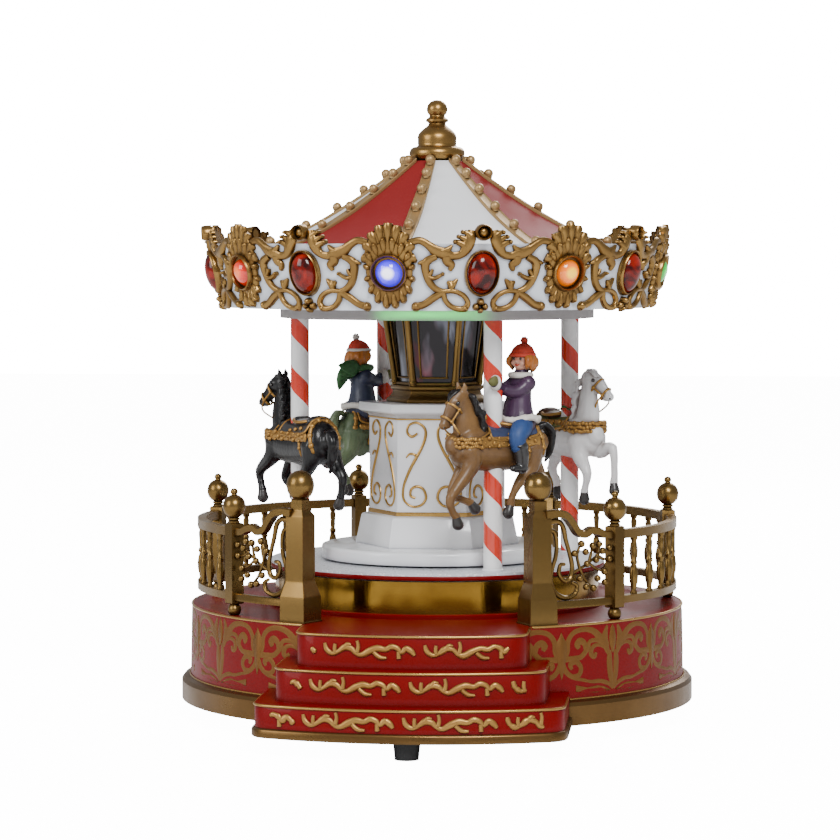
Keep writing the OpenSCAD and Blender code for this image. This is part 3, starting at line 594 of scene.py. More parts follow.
def glitter():
    """White lacquer with flakes that each tilt their own way."""
    m = finish("white_glitter", (0.78, 0.8, 0.83), (0.7, 0.72, 0.76), rough=0.35, coat=0.4, hollow_shade_amount=0.3,
               reach=0.004)
    t = m.node_tree
    at = object_at(t)
    flakes = add_node(t, "TexVoronoi", {"Vector": at, "Scale": 1400.0})
    grey = add_node(t, "RGBToBW", {0: flakes.outputs["Color"]}).outputs[0]
    bright = ranged(t, grey, 0.7, 0.78)
    # the flakes are white against grey blue lacquer: partly their own colour, partly a painted glint
    colour = mixed(t, bright, (0.62, 0.65, 0.7, 1), (1, 1, 1, 1))
    recolour(m, colour)
    t.links.new(ranged(t, bright, 0, 1, 0.45, 0.08), shader_of(m).inputs["Roughness"])
    raise_bump(m, grey, 0.0002, 0.55)
    return m


def foil():
    """Brass foil, wavy across and with fine upright streaks."""
    m = finish("gold_foil", (0.3, 0.17, 0.026), (0.18, 0.09, 0.012), rough=0.16, spread_of=0.08, metal=1.0,
               hollow_shade=(0.12, 0.07, 0.02), hollow_shade_amount=0.5, reach=0.006, patch=0.6, patch_scale=30)
    t = m.node_tree
    streak = noise_at(t, object_at(t, (1.0, 1.0, 0.08)), 420.0, 3.0)
    wave = noise_at(t, object_at(t), 55.0, 1.0)
    both = add_node(t, "Math", {0: streak, 1: 0.12, 2: wave}, operation="MULTIPLY_ADD").outputs[0]
    raise_bump(m, both, 0.0012, 0.5)
    return m


def mirror():
    """Dark mirror glass with painted reflections: soft upright streaks of dark red and blue grey."""
    m = finish("dark_mirror", (0.05, 0.045, 0.05), (0.01, 0.009, 0.01), rough=0.1, spread_of=0.06, metal=0.85,
               coat=0.15, coat_rough=0.03, hollow_shade_amount=0.2, patch=0.9, patch_scale=45, gloss=0.2)
    t = m.node_tree
    upright = object_at(t, (1.0, 1.0, 0.3))
    reflection_share = ranged(t, noise_at(t, upright, 120.0, 2.0, 0.6), 0.5, 0.72)
    reflection_hue = ranged(t, noise_at(t, upright, 60.0), 0.42, 0.58)
    # painted reflections: dark red and blue grey streaks, as of the riders and horses round the lantern
    streak = mixed(t, reflection_hue, (0.2, 0.02, 0.03, 1), (0.2, 0.21, 0.26, 1))
    recolour(m, mixed(t, reflection_share, (0.022, 0.02, 0.022, 1), streak))
    raise_bump(m, noise_at(t, object_at(t), 70.0, 1.0), 0.0006, 0.35)
    return m


def stripes():
    """Red and white round a pole, from the pole's own UV: u once around, v in turns of the stripe."""
    m = finish("striped_pole", (0.8, 0.8, 0.8), rough=0.25, spread_of=0.05, coat=0.7, coat_rough=0.06,
               hollow_shade=(0.2, 0.1, 0.1), hollow_shade_amount=0.35, reach=0.004, bump=0.06)
    t = m.node_tree
    uv = add_node(t, "UVMap", uv_map="wrap").outputs[0]
    part = add_node(t, "SeparateXYZ", {0: uv})
    rise = add_node(t, "Math", {0: part.outputs[0], 1: part.outputs[1]}, operation="ADD").outputs[0]
    turn = add_node(t, "Math", {0: rise}, operation="FRACT").outputs[0]
    start = ranged(t, turn, 0.0, 0.012)
    stop = ranged(t, turn, 0.43, 0.418)
    red = add_node(t, "Math", {0: start, 1: stop}, operation="MULTIPLY").outputs[0]
    recolour(m, mixed(t, red, (0.84, 0.84, 0.84, 1), (0.62, 0.026, 0.004, 1)))
    return m


def gem():
    """Deep red cabochon with cloudy streaks and a painted warm glow in its brighter streaks."""
    m = finish("jewel_red", (0.2, 0.002, 0.001), rough=0.14, spread_of=0.02, coat=0.25, coat_rough=0.03,
               gloss=0.3, hollow_shade_amount=0.0, bump=0.02)
    t = m.node_tree
    ramp = ranged(t, noise_at(t, object_at(t), 130.0, 3.0, 0.8), 0.38, 0.66)
    recolour(m, mixed(t, ramp, (0.02, 0.0002, 0.0002, 1), (0.17, 0.001, 0.0002, 1)))
    # painted glow: the jewel gives off warm light in its brighter streaks, though it is no lamp
    t.links.new(mixed(t, ramp, (0.03, 0, 0, 1), (0.6, 0.03, 0.0, 1)), shader_of(m).inputs["Emission Color"])
    shader_of(m).inputs["Emission Strength"].default_value = 0.35
    return m


def lens(name, rim, core, strength):
    """A lit lens: its colour brightens towards a near white core, by the lens's own UV."""
    m = finish(name, rim, rough=0.1, coat=1.0, coat_rough=0.03, hollow_shade_amount=0.0, bump=0.02)
    t = m.node_tree
    uv = add_node(t, "UVMap", uv_map="disc").outputs[0]
    reach = add_node(t, "VectorMath", {0: uv}, operation="LENGTH").outputs["Value"]
    ring = ranged(t, reach, 0.28, 0.5)
    deep = ranged(t, reach, 0.5, 1.0)
    inner = mixed(t, ring, (*core, 1), (*rim, 1))
    outer = mixed(t, deep, inner, (*[c * 0.35 for c in rim], 1))
    recolour(m, outer)
    t.links.new(outer, shader_of(m).inputs["Emission Color"])
    shader_of(m).inputs["Emission Strength"].default_value = strength
    return m


HAIR_GRAIN = (1.0, 1.0, 0.35)


# the hollow colour and its amount set the painted shade in the carved hollows
def coat_paint(name, colour, shade, hair=0.00025, rough=0.4, coat=0.3, hollow_shade=(0.02, 0.012, 0.008),
               amount=0.75, patch_scale=70):
    """Painted resin with a carved, hairy skin."""
    m = finish(name, colour, shade, rough=rough, coat=coat, coat_rough=0.25, hollow_shade=hollow_shade, hollow_shade_amount=amount,
               reach=0.003, patch=0.7, patch_scale=patch_scale, gloss=0.3)
    t = m.node_tree
    raise_bump(m, noise_at(t, object_at(t, HAIR_GRAIN), 520.0, 4.0, 0.6), hair, 0.45)
    return m


foot_glitter, drum_foil, lantern_glass = glitter(), foil(), mirror()
pole_paint, jewel_glass = stripes(), gem()
violet_lens = lens("violet_lens", (0.05, 0.015, 0.9), (0.8, 0.8, 1.0), 1.9)
amber_lens = lens("amber_lens", (0.85, 0.17, 0.0), (1.0, 0.55, 0.0), 1.0)
red_lens = lens("red_lens", (0.7, 0.015, 0.0), (1.0, 0.16, 0.02), 0.7)
green_lens = lens("green_lens", (0.01, 0.5, 0.04), (0.25, 1.0, 0.25), 0.8)
brown_paint = coat_paint("brown_horse_paint", (0.19, 0.1, 0.033), (0.08, 0.038, 0.012), hair=0.0004)
white_paint = coat_paint("white_horse_paint", (0.74, 0.74, 0.74), (0.62, 0.6, 0.6), hollow_shade=(0.2, 0.14, 0.12),
                         amount=0.8, coat=0.5, rough=0.3)
black_paint = coat_paint("black_horse_paint", (0.003, 0.003, 0.004), (0.002, 0.002, 0.0025),
                         hollow_shade=(0.001, 0.001, 0.001), coat=0.3, rough=0.32, hair=0.0004)
green_paint = coat_paint("green_horse_paint", (0.15, 0.2, 0.105), (0.085, 0.125, 0.065),
                         hollow_shade=(0.015, 0.03, 0.015), hair=0.0006)
mane_black = coat_paint("mane_black", (0.006, 0.005, 0.005), (0.003, 0.003, 0.003), hair=0.0004, coat=0.2)
mane_grey = coat_paint("mane_grey", (0.7, 0.7, 0.71), (0.58, 0.56, 0.56), hair=0.0004,
                       hollow_shade=(0.25, 0.2, 0.18), amount=0.8)
tack_gold = finish("tack_gold", (0.42, 0.23, 0.06), (0.25, 0.12, 0.03), rough=0.38, metal=0.7,
                   hollow_shade=(0.05, 0.02, 0.008),
                   hollow_shade_amount=0.9, reach=0.0012, patch_scale=150, grain=1200, bump=0.5, depth=0.00015)
hoof_dark = finish("hoof_dark", (0.02, 0.017, 0.016), rough=0.45, coat=0.3)
eye_black = finish("eye_black", (0.006, 0.005, 0.005), rough=0.15, coat=1.0, hollow_shade_amount=0.0)
pommel_pink = finish("pommel_pink", (0.3, 0.12, 0.075), (0.2, 0.07, 0.04), rough=0.4, coat=0.3,
                     patch_scale=120)
WEAVE = dict(grain=1500, bump=0.5, depth=0.00012)
SOFT_WEAVE = dict(grain=1400, bump=0.5, depth=0.00012)
navy_cloth = finish("navy_cloth", (0.025, 0.04, 0.1), (0.015, 0.022, 0.06), rough=0.6, coat=0.15,
                    patch_scale=200, **WEAVE)
purple_coat = finish("purple_coat", (0.045, 0.014, 0.05), (0.022, 0.007, 0.028), rough=0.5, coat=0.2,
                     patch_scale=160, hollow_shade=(0.008, 0.004, 0.012), **SOFT_WEAVE)
fur_white = finish("fur_white", (0.7, 0.67, 0.62), (0.5, 0.46, 0.42), rough=0.7, hollow_shade=(0.2, 0.15, 0.12),
                   hollow_shade_amount=0.8, reach=0.0012, patch_scale=500, grain=1800, bump=1.0, depth=0.0003)
hat_red = finish("hat_red", (0.56, 0.045, 0.018), (0.4, 0.022, 0.008), rough=0.6, grain=1500, bump=0.7,
                 depth=0.0002, patch_scale=260)
skin_pink = finish("skin_pink", (0.66, 0.36, 0.26), (0.6, 0.27, 0.19), rough=0.4, coat=0.2, subsurface=0.15,
                   hollow_shade=(0.25, 0.09, 0.05), hollow_shade_amount=0.5, patch=0.35, patch_scale=120)
hair_blond = coat_paint("hair_blond", (0.5, 0.17, 0.02), (0.3, 0.07, 0.008), hair=0.0004, patch_scale=180)
trousers_blue = finish("trousers_blue", (0.015, 0.055, 0.19), (0.008, 0.025, 0.1), rough=0.55,
                       patch_scale=170, **WEAVE)
boot_black = finish("boot_black", (0.012, 0.011, 0.012), rough=0.35, coat=0.5)
mitten_olive = finish("mitten_olive", (0.12, 0.12, 0.03), (0.07, 0.07, 0.015), rough=0.6, grain=1500,
                      bump=0.6, depth=0.00015)
scarf_green = finish("scarf_green", (0.035, 0.14, 0.035), (0.018, 0.075, 0.02), rough=0.55, grain=1400,
                     bump=0.6, depth=0.0002, patch_scale=180)
boy_coat = finish("boy_coat", (0.02, 0.028, 0.065), (0.012, 0.016, 0.04), rough=0.5, coat=0.2,
                  patch_scale=160, **SOFT_WEAVE)
boy_trousers = finish("boy_trousers", (0.045, 0.025, 0.018), rough=0.5, **SOFT_WEAVE)
basket_brown = finish("basket_brown", (0.12, 0.055, 0.025), (0.07, 0.03, 0.012), rough=0.5, grain=700,
                      bump=0.8, depth=0.0003, patch_scale=200)


def dress(node, material):
    """Gives a CAD node that is shown as it is its finish."""
    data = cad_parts[node]
    if not data.material_slots:
        data.data.materials.append(material)
    for held in data.material_slots:
        held.material = material


for name, material in (
        ("rubber_feet", black_rubber), ("bottom_cover", cover_plastic), ("key_cup", cover_plastic),
        ("screws", steel), ("base_rim", rim_brass), ("base_shell", red_lacquer), ("drum_band", drum_foil),
        ("fence_rails", worn_brass), ("movement_plate", movement_brass), ("comb", steel),
        ("governor_bracket", steel), ("battery_box", dark_plastic), ("battery_cells", cell_wrap),
        ("centre_column", dark_plastic), ("led_wires", wire_red), ("lantern_mirrors", lantern_glass),
        ("canopy_plate", grey_plastic), ("led_board", board_green), ("platform", foot_glitter),
        ("ring_gear", gear_plastic), ("pole_ring", grey_plastic), ("music_cylinder", movement_brass),
        ("spring_barrel", movement_brass), ("mainspring", steel), ("drive_pinion", movement_brass),
        ("winding_key", steel), ("governor", movement_brass), ("battery_door", dark_plastic),
        ("light_switch", dark_plastic)):
    dress(name, material)


# ---------------------------------------------------------------- base, steps and fence
DECK = high("base_shell").z
WALL_LOW = 116.0
WALL_HIGH = 115.0
STEP_FRONTS = (158.5, 149.5, 140.5)
STEP_HALVES = (67.0, 58.5, 50.0)
CORNER = 10.0


def wall_r(z):
    return WALL_LOW + (WALL_HIGH - WALL_LOW) * z / DECK


def on_wall(u, v, out):
    r = wall_r(v) + out
    a = u / WALL_LOW
    return (r * math.sin(a), -r * math.cos(a), v)


def step_outline(i, grow=0.0, back=-84.0):
    """The plan of step i from its right back corner round the front to the left one."""
    front, half = STEP_FRONTS[i] + grow, STEP_HALVES[i] + grow
    corner = CORNER + grow
    cx, reach = half - corner, front - corner
    cy = -math.sqrt(reach * reach - cx * cx)
    turn = math.degrees(math.atan2(cy, cx))
    right = [(half, back), (half, (back + cy) / 2), (half, cy)]
    right += [(cx + corner * cosd(turn * k / 8), cy + corner * sind(turn * k / 8)) for k in range(1, 8)]
    arc = [(front * cosd(a), front * sind(a))
           for a in [turn + (-90 - turn) * k / 20 for k in range(21)]]
    side = right + arc
    return side + [(-x, y) for x, y in side[-2::-1]]


def wall_strip(shape, outline, levels):
    """A prism with the outline shifted outwards by `grow` at each (z, grow) level."""
    pts = [Vector(p) for p in outline]
    n = len(pts)
    normals = []
    for i in range(n):
        t = (pts[min(i + 1, n - 1)] - pts[max(i - 1, 0)]).normalized()
        normals.append(Vector((-t.y, t.x)) * -1)
    verts = [(p.x - m.x * g, p.y - m.y * g, z) for z, g in levels for p, m in zip(pts, normals)]
    return shape.add(verts, bands(len(levels), n) + caps(len(levels), n))


steps = Shape()
edges = Shape()
RISE = DECK / 3
DECK_LAP = 0.08
RIM_TOP = 2.4
for i in range(3):
    top = RISE * (i + 1)
    bottom = RIM_TOP if i == 0 else RISE * i - 1
    plan = step_outline(i, back=-80.0)
    if i == 2:
        top += DECK_LAP
    wall_strip(steps, plan, [(bottom, 0), (top - 0.7, 0), (top - 0.2, -0.25), (top, -0.8), (top, -1.6)])
    edge_path = [Vector((x, y, top - 0.75)) for x, y in step_outline(i, 0.05)[1:-1]]
    edges.tube(edge_path, 0.62, sides=8)


def wall_line(r, z, start, sweep, count):
    """Points round the base's wall, `sweep` degrees on from `start`."""
    return [(r * sind(a), -r * cosd(a), z) for a in (start + k * sweep / count for k in range(count + 1))]


edges.tube(wall_line(114.9, DECK - 0.35, 26.5, 307, 220), 0.6, sides=8)
edges.tube(wall_line(116.1, 11.2, 35.5, 289, 200), 0.4, sides=6)
piece("steps", steps, red_lacquer, "base", "red_lacquer", "step_block", angle=35)
piece("step_and_deck_lines", edges, line_gold, "base", "antique_gold", angle=60)

rim = Shape()
outer = step_outline(0, 1.4, back=-90.0)
wall_strip(rim, outer, [(0.0, -0.6), (0.6, 0), (3.2, 0), (3.8, -0.3), (4.2, -0.9)])
piece("step_foot_rim", rim, rim_brass, "base", "antique_gold", "step_rim", angle=40)

VINE = [
    ([(0.4, 2.6), (1.3, -0.4), (3.9, -2.1), (6.9, -0.9), (9.5, 0.9), (12.5, 0.4), (14.7, -1.7), (17.2, -2.3),
      (20.7, -0.4), (24.1, 0.9), (27.6, 0.4), (30.2, 1.7), (32.8, 0.9), (34.5, -0.9), (36.6, 0.9),
      (38.8, -0.4),
      (40.1, -2.2)], [1.4, 2.4, 2.2, 2.0, 3.0, 2.6, 2.0, 2.4, 3.2, 3.0, 2.4, 2.6, 2.4, 2.0, 2.8, 2.8, 1.6]),
    ([(5.2, 2.4), (5.0, 0.4), (5.2, -1.4)], [1.5, 1.9, 2.0]),
    ([(15.1, 4.1), (15.6, 1.8), (15.1, -1.2)], [1.5, 1.7, 2.2]),
    ([(22.4, -0.9), (25.0, -3.2), (28.0, -3.5)], [2.0, 2.2, 1.3]),
    ([(33.2, -0.4), (33.4, -3.6)], [1.8, 2.2]),
    ([(9.2, 0.6), (10.6, 2.4), (12.4, 2.2)], [1.8, 1.8, 1.0]),
]
vines = Shape()
for i, (start, reach) in enumerate(((-45.0, 60.5), (-43.0, 52.0), (-37.5, 43.5))):
    front = STEP_FRONTS[i]
    middle = RISE * (i + 0.5) + (0.9 if i else 1.6)

    def on_riser(u, v, out, front=front, middle=middle):
        r = front + out
        return (r * math.sin(u / front), -r * math.cos(u / front), middle + v)

    for k in range(-1, 3):
        for path, widths in VINE:
            curve = [p for p in spline([(start + 44.2 * k + x, y * 0.95) for x, y in path], 4)
                     if abs(p.x) < reach]
            if len(curve) > 2:
                vines.relief(curve, widths, on_riser, height=1.05, sides=6)
piece("riser_vines", vines, tack_gold, "base", "antique_gold", angle=60)

# printed scrollwork round the base wall
PRINT_ARCS = [
    ([(4.8, 34.5), (5.9, 35.5), (10.5, 40.1), (16.1, 41.7), (21.8, 40.6), (24.9, 37), (25.4, 32.2),
      (27.4, 28.9)],
     [3.4, 3.2, 2.2, 1.7, 1.7, 1.8, 1.8, 2.0]),
    ([(3.6, 32.5), (6, 35), (9.3, 36.4), (13.3, 36), (15, 32.6), (18.4, 29.5), (22.3, 29.1), (26.4, 28.9)],
     [2.4, 2.2, 1.5, 1.5, 1.9, 1.8, 1.8, 2.0]),
    ([(15.6, 32.4), (16.4, 35.4), (18.6, 36.6), (20.2, 35.2), (19.2, 33.4)], [1.6, 2.0, 2.4, 2.4, 1.4]),
    ([(2.0, 29.6), (5.4, 33), (9.3, 34.3), (12.1, 33.1), (12.7, 30.5), (10.9, 29.3), (9.8, 31)],
     [0.8, 0.9, 1.2, 1.7, 2.0, 1.8, 1.0]),
    ([(28.4, 29.4), (26.8, 24.4), (23.4, 21.3), (19.5, 21.6), (18.4, 24.8), (21, 27.6), (23.9, 26.4),
      (23, 24.4)],
     [2.0, 1.8, 1.7, 1.7, 1.7, 1.8, 1.9, 1.2]),
    ([(0.3, 14.1), (2.5, 16.4), (7.6, 18.1), (12.7, 18.2), (17.8, 19.4), (22.6, 20.5), (25.2, 22.6)],
     [0.8, 1.4, 1.5, 1.1, 1.1, 1.2, 1.0]),
    ([(2.0, 31.4), (2.0, 26), (1.4, 20), (0.2, 14.2)], [1.6, 2.6, 2.4, 0.7]),
    ([(2.6, 30), (4.2, 34), (4.7, 38), (3.2, 42.6)], [1.4, 3.0, 2.8, 0.7]),
]
BLOCK = [(1.4, 13.5), (5.5, 15.6), (9.3, 16.3), (15, 15.8), (21.2, 17.2), (21.2, 14.3), (10.5, 13.2)]
LEAF = [(0, 43), (1.3, 41), (2.1, 37.5), (1.9, 34), (0.8, 31), (0, 30), (-0.8, 31), (-1.9, 34), (-2.1, 37.5),
        (-1.3, 41)]
DIAMOND = [(0, 41), (1.2, 38.6), (2.6, 36.4), (3.0, 33), (2.4, 29.5), (1.6, 26), (0.9, 22.5), (0, 19.8),
           (-0.9, 22.5), (-1.6, 26), (-2.4, 29.5), (-3.0, 33), (-2.6, 36.4), (-1.2, 38.6)]
FIRST_LOOP, PRINT_STEP = 33.4, 28.76
PRINT_THICK = 0.14
PRINT_BOLD = 1.35
prints = Shape()


PRINT_STRETCH = 29.1 / 28.4


def printed(at, flip=1):
    """Places on the wall from `at` degrees on, mirrored where flip is -1."""
    shift = math.radians(at) * WALL_LOW
    return lambda u, v, out: on_wall(shift + u * flip * PRINT_STRETCH, v, out)


for k in range(-1, 11):
    loop_at = FIRST_LOOP + PRINT_STEP * k
    if k >= 0:
        prints.slab(DIAMOND, printed(loop_at), PRINT_THICK, -0.1, 0.1)
    for flip in (-1, 1):
        if (k, flip) in ((-1, -1), (10, 1)):
            continue
        spot = printed(loop_at + PRINT_STEP / 2, flip)
        for path, widths in PRINT_ARCS:
            prints.relief(spline(path, 4), [w * PRINT_BOLD for w in widths], spot, PRINT_THICK, -0.1, sides=3,
                          dome=0.2)
        prints.slab(BLOCK, spot, PRINT_THICK, -0.1, 0.1)
    if 0 <= k < 10:
        prints.slab(LEAF, printed(loop_at + PRINT_STEP / 2), PRINT_THICK + 0.03, -0.1, 0.1)
piece("wall_print", prints, print_gold, "base", "antique_gold", angle=60)

# fence
POST_R = 110.5
baluster = Shape()
baluster.lathe([(0, 53.8), (1.5, 53.8), (1.7, 55), (1.1, 56), (1.3, 57.5), (1.9, 60), (2.1, 63), (1.6, 66),
                (1.15, 67.5),
                (1.6, 68.3), (1.6, 69.2), (1.1, 70), (1.25, 74), (1.5, 77), (1.1, 78.3), (1.7, 79.2),
                (1.7, 80.8), (0, 80.8)], 12, matrix=Matrix.Translation((0, -POST_R, 0)))
BALUSTERS = 6
baluster_step = POST_STEP / (BALUSTERS + 1)
fence_bars = Shape()
for section in range(SECTIONS):
    for k in range(BALUSTERS):
        fence_bars.join(baluster, turn_z(FIRST_POST + section * POST_STEP + (k + 1) * baluster_step))
piece("balusters", fence_bars, worn_brass, "base", "antique_gold", "balusters", angle=50)


def square_post(shape, tiers, matrix):
    """A square post of (half width, height) levels."""
    shape.lathe([(w * math.sqrt(2), z) for w, z in tiers], 4, matrix=matrix, phase=math.pi / 4)


urn = Shape()
urn_at = Matrix.Translation((0, -POST_R, DECK))
urn.lathe([(0, 0), (1.8, 0), (2.7, 0.8), (3.1, 2.4), (2.8, 3.9), (2.0, 4.9), (1.7, 5.4), (0, 5.4)], 24,
          matrix=urn_at)
square_post(urn, [(2.7, 5.2), (3.1, 5.6), (3.1, 41.2), (2.8, 41.7), (2.2, 42.0)], urn_at)
urn.lathe([(0, 41.8), (2.4, 41.8), (2.4, 42.6), (1.9, 43.0), (2.6, 43.4), (2.6, 44.0), (2.0, 44.3),
           (3.2, 45.0),
           (4.5, 46.4), (5.1, 48.2), (5.2, 49.8), (4.8, 51.6), (3.8, 53.2), (2.4, 54.2), (1.4, 54.6),
           (1.3, 55.0), (1.7, 55.5), (1.7, 56.4), (1.1, 57.3), (0, 57.6)], 28, matrix=urn_at)
around("urn_posts", urn, worn_brass, 6, FIRST_POST, POST_STEP, "base", "antique_gold", "urn_posts", angle=45)


gate = Shape()
gate_at = Matrix.Translation((0, -107.0, DECK))
square_post(gate, [(6.9, 0), (6.9, 0.5), (6.6, 0.9), (6.5, 11.2), (6.3, 11.9), (4.9, 17.2), (4.65, 18.0),
                   (4.6, 18.8),
                   (4.6, 46.9), (4.4, 47.6), (3.1, 49.6), (3.0, 50.2), (3.0, 54.4), (2.6, 54.9)], gate_at)
gate.lathe([(2.6, 54.6), (2.9, 55.0), (4.6, 56.0), (5.7, 57.9), (6.2, 60.2), (6.2, 61.6), (5.7, 63.8),
            (4.5, 65.7), (2.6, 67.0), (1.0, 67.4), (0, 67.5)], 32, matrix=gate_at)
around("gate_posts", gate, worn_brass, 2, -GATE_ANGLE, 2 * GATE_ANGLE, "base", "antique_gold", "gate_posts",
       angle=28)


def on_fence(a0):
    """Flat places on the fence circle: u along it from angle a0, v up, out outwards."""
    return lambda u, v, out: ((POST_R + out) * math.sin(math.radians(a0) + u / POST_R),
                              -(POST_R + out) * math.cos(math.radians(a0) + u / POST_R), v)


def bar_on_fence(shape, path, widths, at):
    """A round bar lying in the fence's curved face."""
    shape.tube([at(p.x, p.y, 0) for p in spline([(x, y) for x, y in path], 5)],
               [w / 2 for w in widths], sides=8)


PANEL_SCROLLS = [
    ([(3.5, 89.2), (8.0, 89.8), (11.0, 87.0), (12.4, 81.5), (14.2, 76.0), (15.8, 70.0), (15.0, 64.6),
      (11.6, 63.4),
      (9.0, 66.4), (9.6, 70.2), (11.6, 70.6)], [2.4, 2.6, 2.4, 2.1, 2.0, 2.2, 2.4, 2.2, 2.0, 1.8, 1.6]),
    ([(3.4, 86.4), (6.6, 84.8), (7.8, 79.8), (7.2, 74.0), (5.4, 68.6), (5.0, 62.6), (7.4, 57.8), (12.4, 55.6),
      (17.4, 57.2), (18.6, 60.6), (16.2, 62.2)], [2.0, 2.2, 2.0, 2.0, 2.0, 2.2, 2.4, 2.4, 2.2, 2.0, 1.6]),
]
PANEL_TWIGS = [
    [(15.4, 66.0), (25.0, 70.5), (33.0, 75.4)], [(20.0, 68.4), (18.6, 74.0), (20.6, 79.2)],
    [(20.0, 68.4), (23.0, 63.0), (27.4, 59.2)], [(25.0, 70.5), (26.4, 74.2), (27.0, 78.0)],
    [(25.0, 70.5), (29.6, 67.6), (34.2, 66.2)], [(30.0, 73.6), (33.6, 71.8), (37.2, 71.6)],
]
PANEL_BERRIES = [(16.6, 75.2), (22.6, 75.6), (30.4, 78.6), (29.6, 63.4), (23.0, 60.0), (34.0, 61.4),
                 (23.4, 70.2), (36.6, 76.6), (28.6, 71.8), (19.4, 64.0)]
panels = Shape()
for side in (-1, 1):
    a0 = side * GATE_ANGLE
    at = lambda u, v, out, a0=a0, side=side: on_fence(a0)(side * u, v, out)
    far = math.radians(FIRST_POST - GATE_ANGLE) * POST_R
    # a low rail, and a top rail that rises in an S to the gate post
    rails = (([(3, 52.8), (12, 52.8), (24, 52.8), (far - 1, 52.8)], 3.2),
             ([(2, 93.0), (8, 93.3), (12.5, 92.0), (16, 88.2), (18.6, 84.8), (22, 83.5), (26, 85.0),
               (30, 84.4), (34, 82.8), (far - 1, 82.2)], 3.4))
    for path, tall in rails:
        line = spline([(x, y) for x, y in path], 8)
        section = [(-1.9, -tall / 2), (1.9, -tall / 2), (1.9, tall / 2 - 0.6), (1.3, tall / 2),
                   (-1.3, tall / 2), (-1.9, tall / 2 - 0.6)]
        verts = []
        for k, q in enumerate(line):
            ahead = (line[min(k + 1, len(line) - 1)] - line[max(k - 1, 0)]).normalized()
            verts += [at(q.x - ahead.y * dz, q.y + ahead.x * dz, d) for d, dz in section]
        panels.add(verts, bands(len(line), len(section)) + caps(len(line), len(section)))
    # scrolls beside the post and a twig of berries
    for path, widths in PANEL_SCROLLS:
        bar_on_fence(panels, path, widths, at)
    for path in PANEL_TWIGS:
        bar_on_fence(panels, path, [1.5, 1.3, 1.1], at)
        panels.ball(at(path[-1][0], path[-1][1], 0.5), 1.65, segs=14)
    for u, v in PANEL_BERRIES:
        panels.ball(at(u, v, 1.0), 1.55, segs=14)
piece("gate_panels", panels, worn_brass, "base", "antique_gold", "gate_panels", angle=45)

# ---------------------------------------------------------------- turntable and centre
edge_ring = Shape()
PLATE_R = high("platform").x
PLATE_THICK = 3.0
plate_low = high("platform").z - PLATE_THICK
edge_ring.lathe(lifted([(PLATE_R - 0.8, -0.1), (PLATE_R + 0.1, -0.1), (PLATE_R + 0.35, 0.2),
                        (PLATE_R + 0.35, 1.5),
                        (PLATE_R + 0.1, 1.8), (PLATE_R - 0.8, 1.8)], plate_low), 128, closed=True)
drum_foot = Shape()
drum_foot.lathe(lifted([(75.5, -0.5), (79.4, -0.5), (79.4, 1.5), (79.0, 1.9), (75.5, 1.9)], DECK), 128,
                closed=True)
piece("drum_foot", drum_foot, red_lacquer, "base", "red_lacquer", angle=40)
piece("platform_edge", edge_ring, red_lacquer, "carousel", "red_lacquer", angle=50)

disc_low, disc_high = low("raised_disc").z, high("raised_disc").z
disc_r = high("raised_disc").x
disc = Shape()
disc.lathe([(8, disc_low), (disc_r - 0.3, disc_low), (disc_r, disc_low + 0.4), (disc_r, disc_high - 1.4),
            (disc_r - 0.4, disc_high - 0.4), (disc_r - 1.5, disc_high), (8, disc_high)], 128, closed=True)
piece("raised_disc", disc, white_gloss, "base", "white_gloss", "raised_disc", angle=50)


def hexed(shape, profile):
    """A hexagonal solid with a flat to the front, of (corner radius, height) levels."""
    return shape.lathe(profile, 6)


plinth_z = low("pedestal_plinth").z
body_top = low("pedestal_cap").z
cap_top = high("pedestal_cap").z
ledge_z = plinth_z + 14.6
stand = hexed(Shape(), [(38.6, plinth_z), (38.6, plinth_z + 1.0), (37.9, plinth_z + 3.2),
                        (35.9, plinth_z + 13.0),
                        (35.4, plinth_z + 13.8), (33.2, ledge_z - 0.2), (32.5, ledge_z),
                        (32.5, ledge_z + 1.9), (32.0, ledge_z + 2.2), (32.0, body_top - 1.0),
                        (33.0, body_top), (35.8, body_top + 0.9), (37.0, body_top + 1.7),
                        (37.0, cap_top - 0.4), (36.6, cap_top)])
piece("pedestal", stand, white_gloss, "base", "white_gloss", "pedestal_plinth", "pedestal_body",
      "pedestal_cap", angle=30, bevel=0.35)

FACE = 32.0 * cosd(30)
face_low = ledge_z + 2.2
face_mid = (face_low + body_top) / 2 + 0.15


def on_pedestal(side):
    turn = turn_z(60 * side)
    return lambda u, v, out: turn @ Vector((u, -FACE - out, face_mid + v))


SCROLL = [
    ([(-6.6, 13.9), (-9.3, 12.4), (-11.4, 14.5), (-10.5, 17.7), (-6.9, 18.9), (-3.3, 16.3), (-3.0, 12),
      (-5.0, 6.6),
      (-8.0, 1.2), (-11.0, -4.8), (-13.2, -11.4), (-12.9, -16.9), (-9.3, -19.9), (-5.0, -19.3), (-2.7, -16.0),
      (-3.9, -12.0), (-6.9, -10.6), (-9.5, -12.0), (-9.8, -15.0), (-7.6, -16.0)],
     [1.0, 1.4, 1.2, 1.1, 1.2, 1.3, 1.4, 1.4, 1.5, 1.4, 1.2, 1.1, 1.1, 1.2, 1.3, 1.3, 1.3, 1.3, 1.3, 1.0]),
    ([(-11.9, 2.6), (-10.2, 4.4), (-7.6, 3.8), (-7.2, 1.4)], [0.6, 1.1, 1.3, 0.8]),
]
scrolls = Shape()
gilt_lines = Shape()
for side in range(6):
    at = on_pedestal(side)
    for flip in (-1, 1):
        for path, widths in SCROLL:
            scrolls.relief(spline([(x * flip, y) for x, y in path], 5), widths, at, 0.75, -0.2, sides=6)
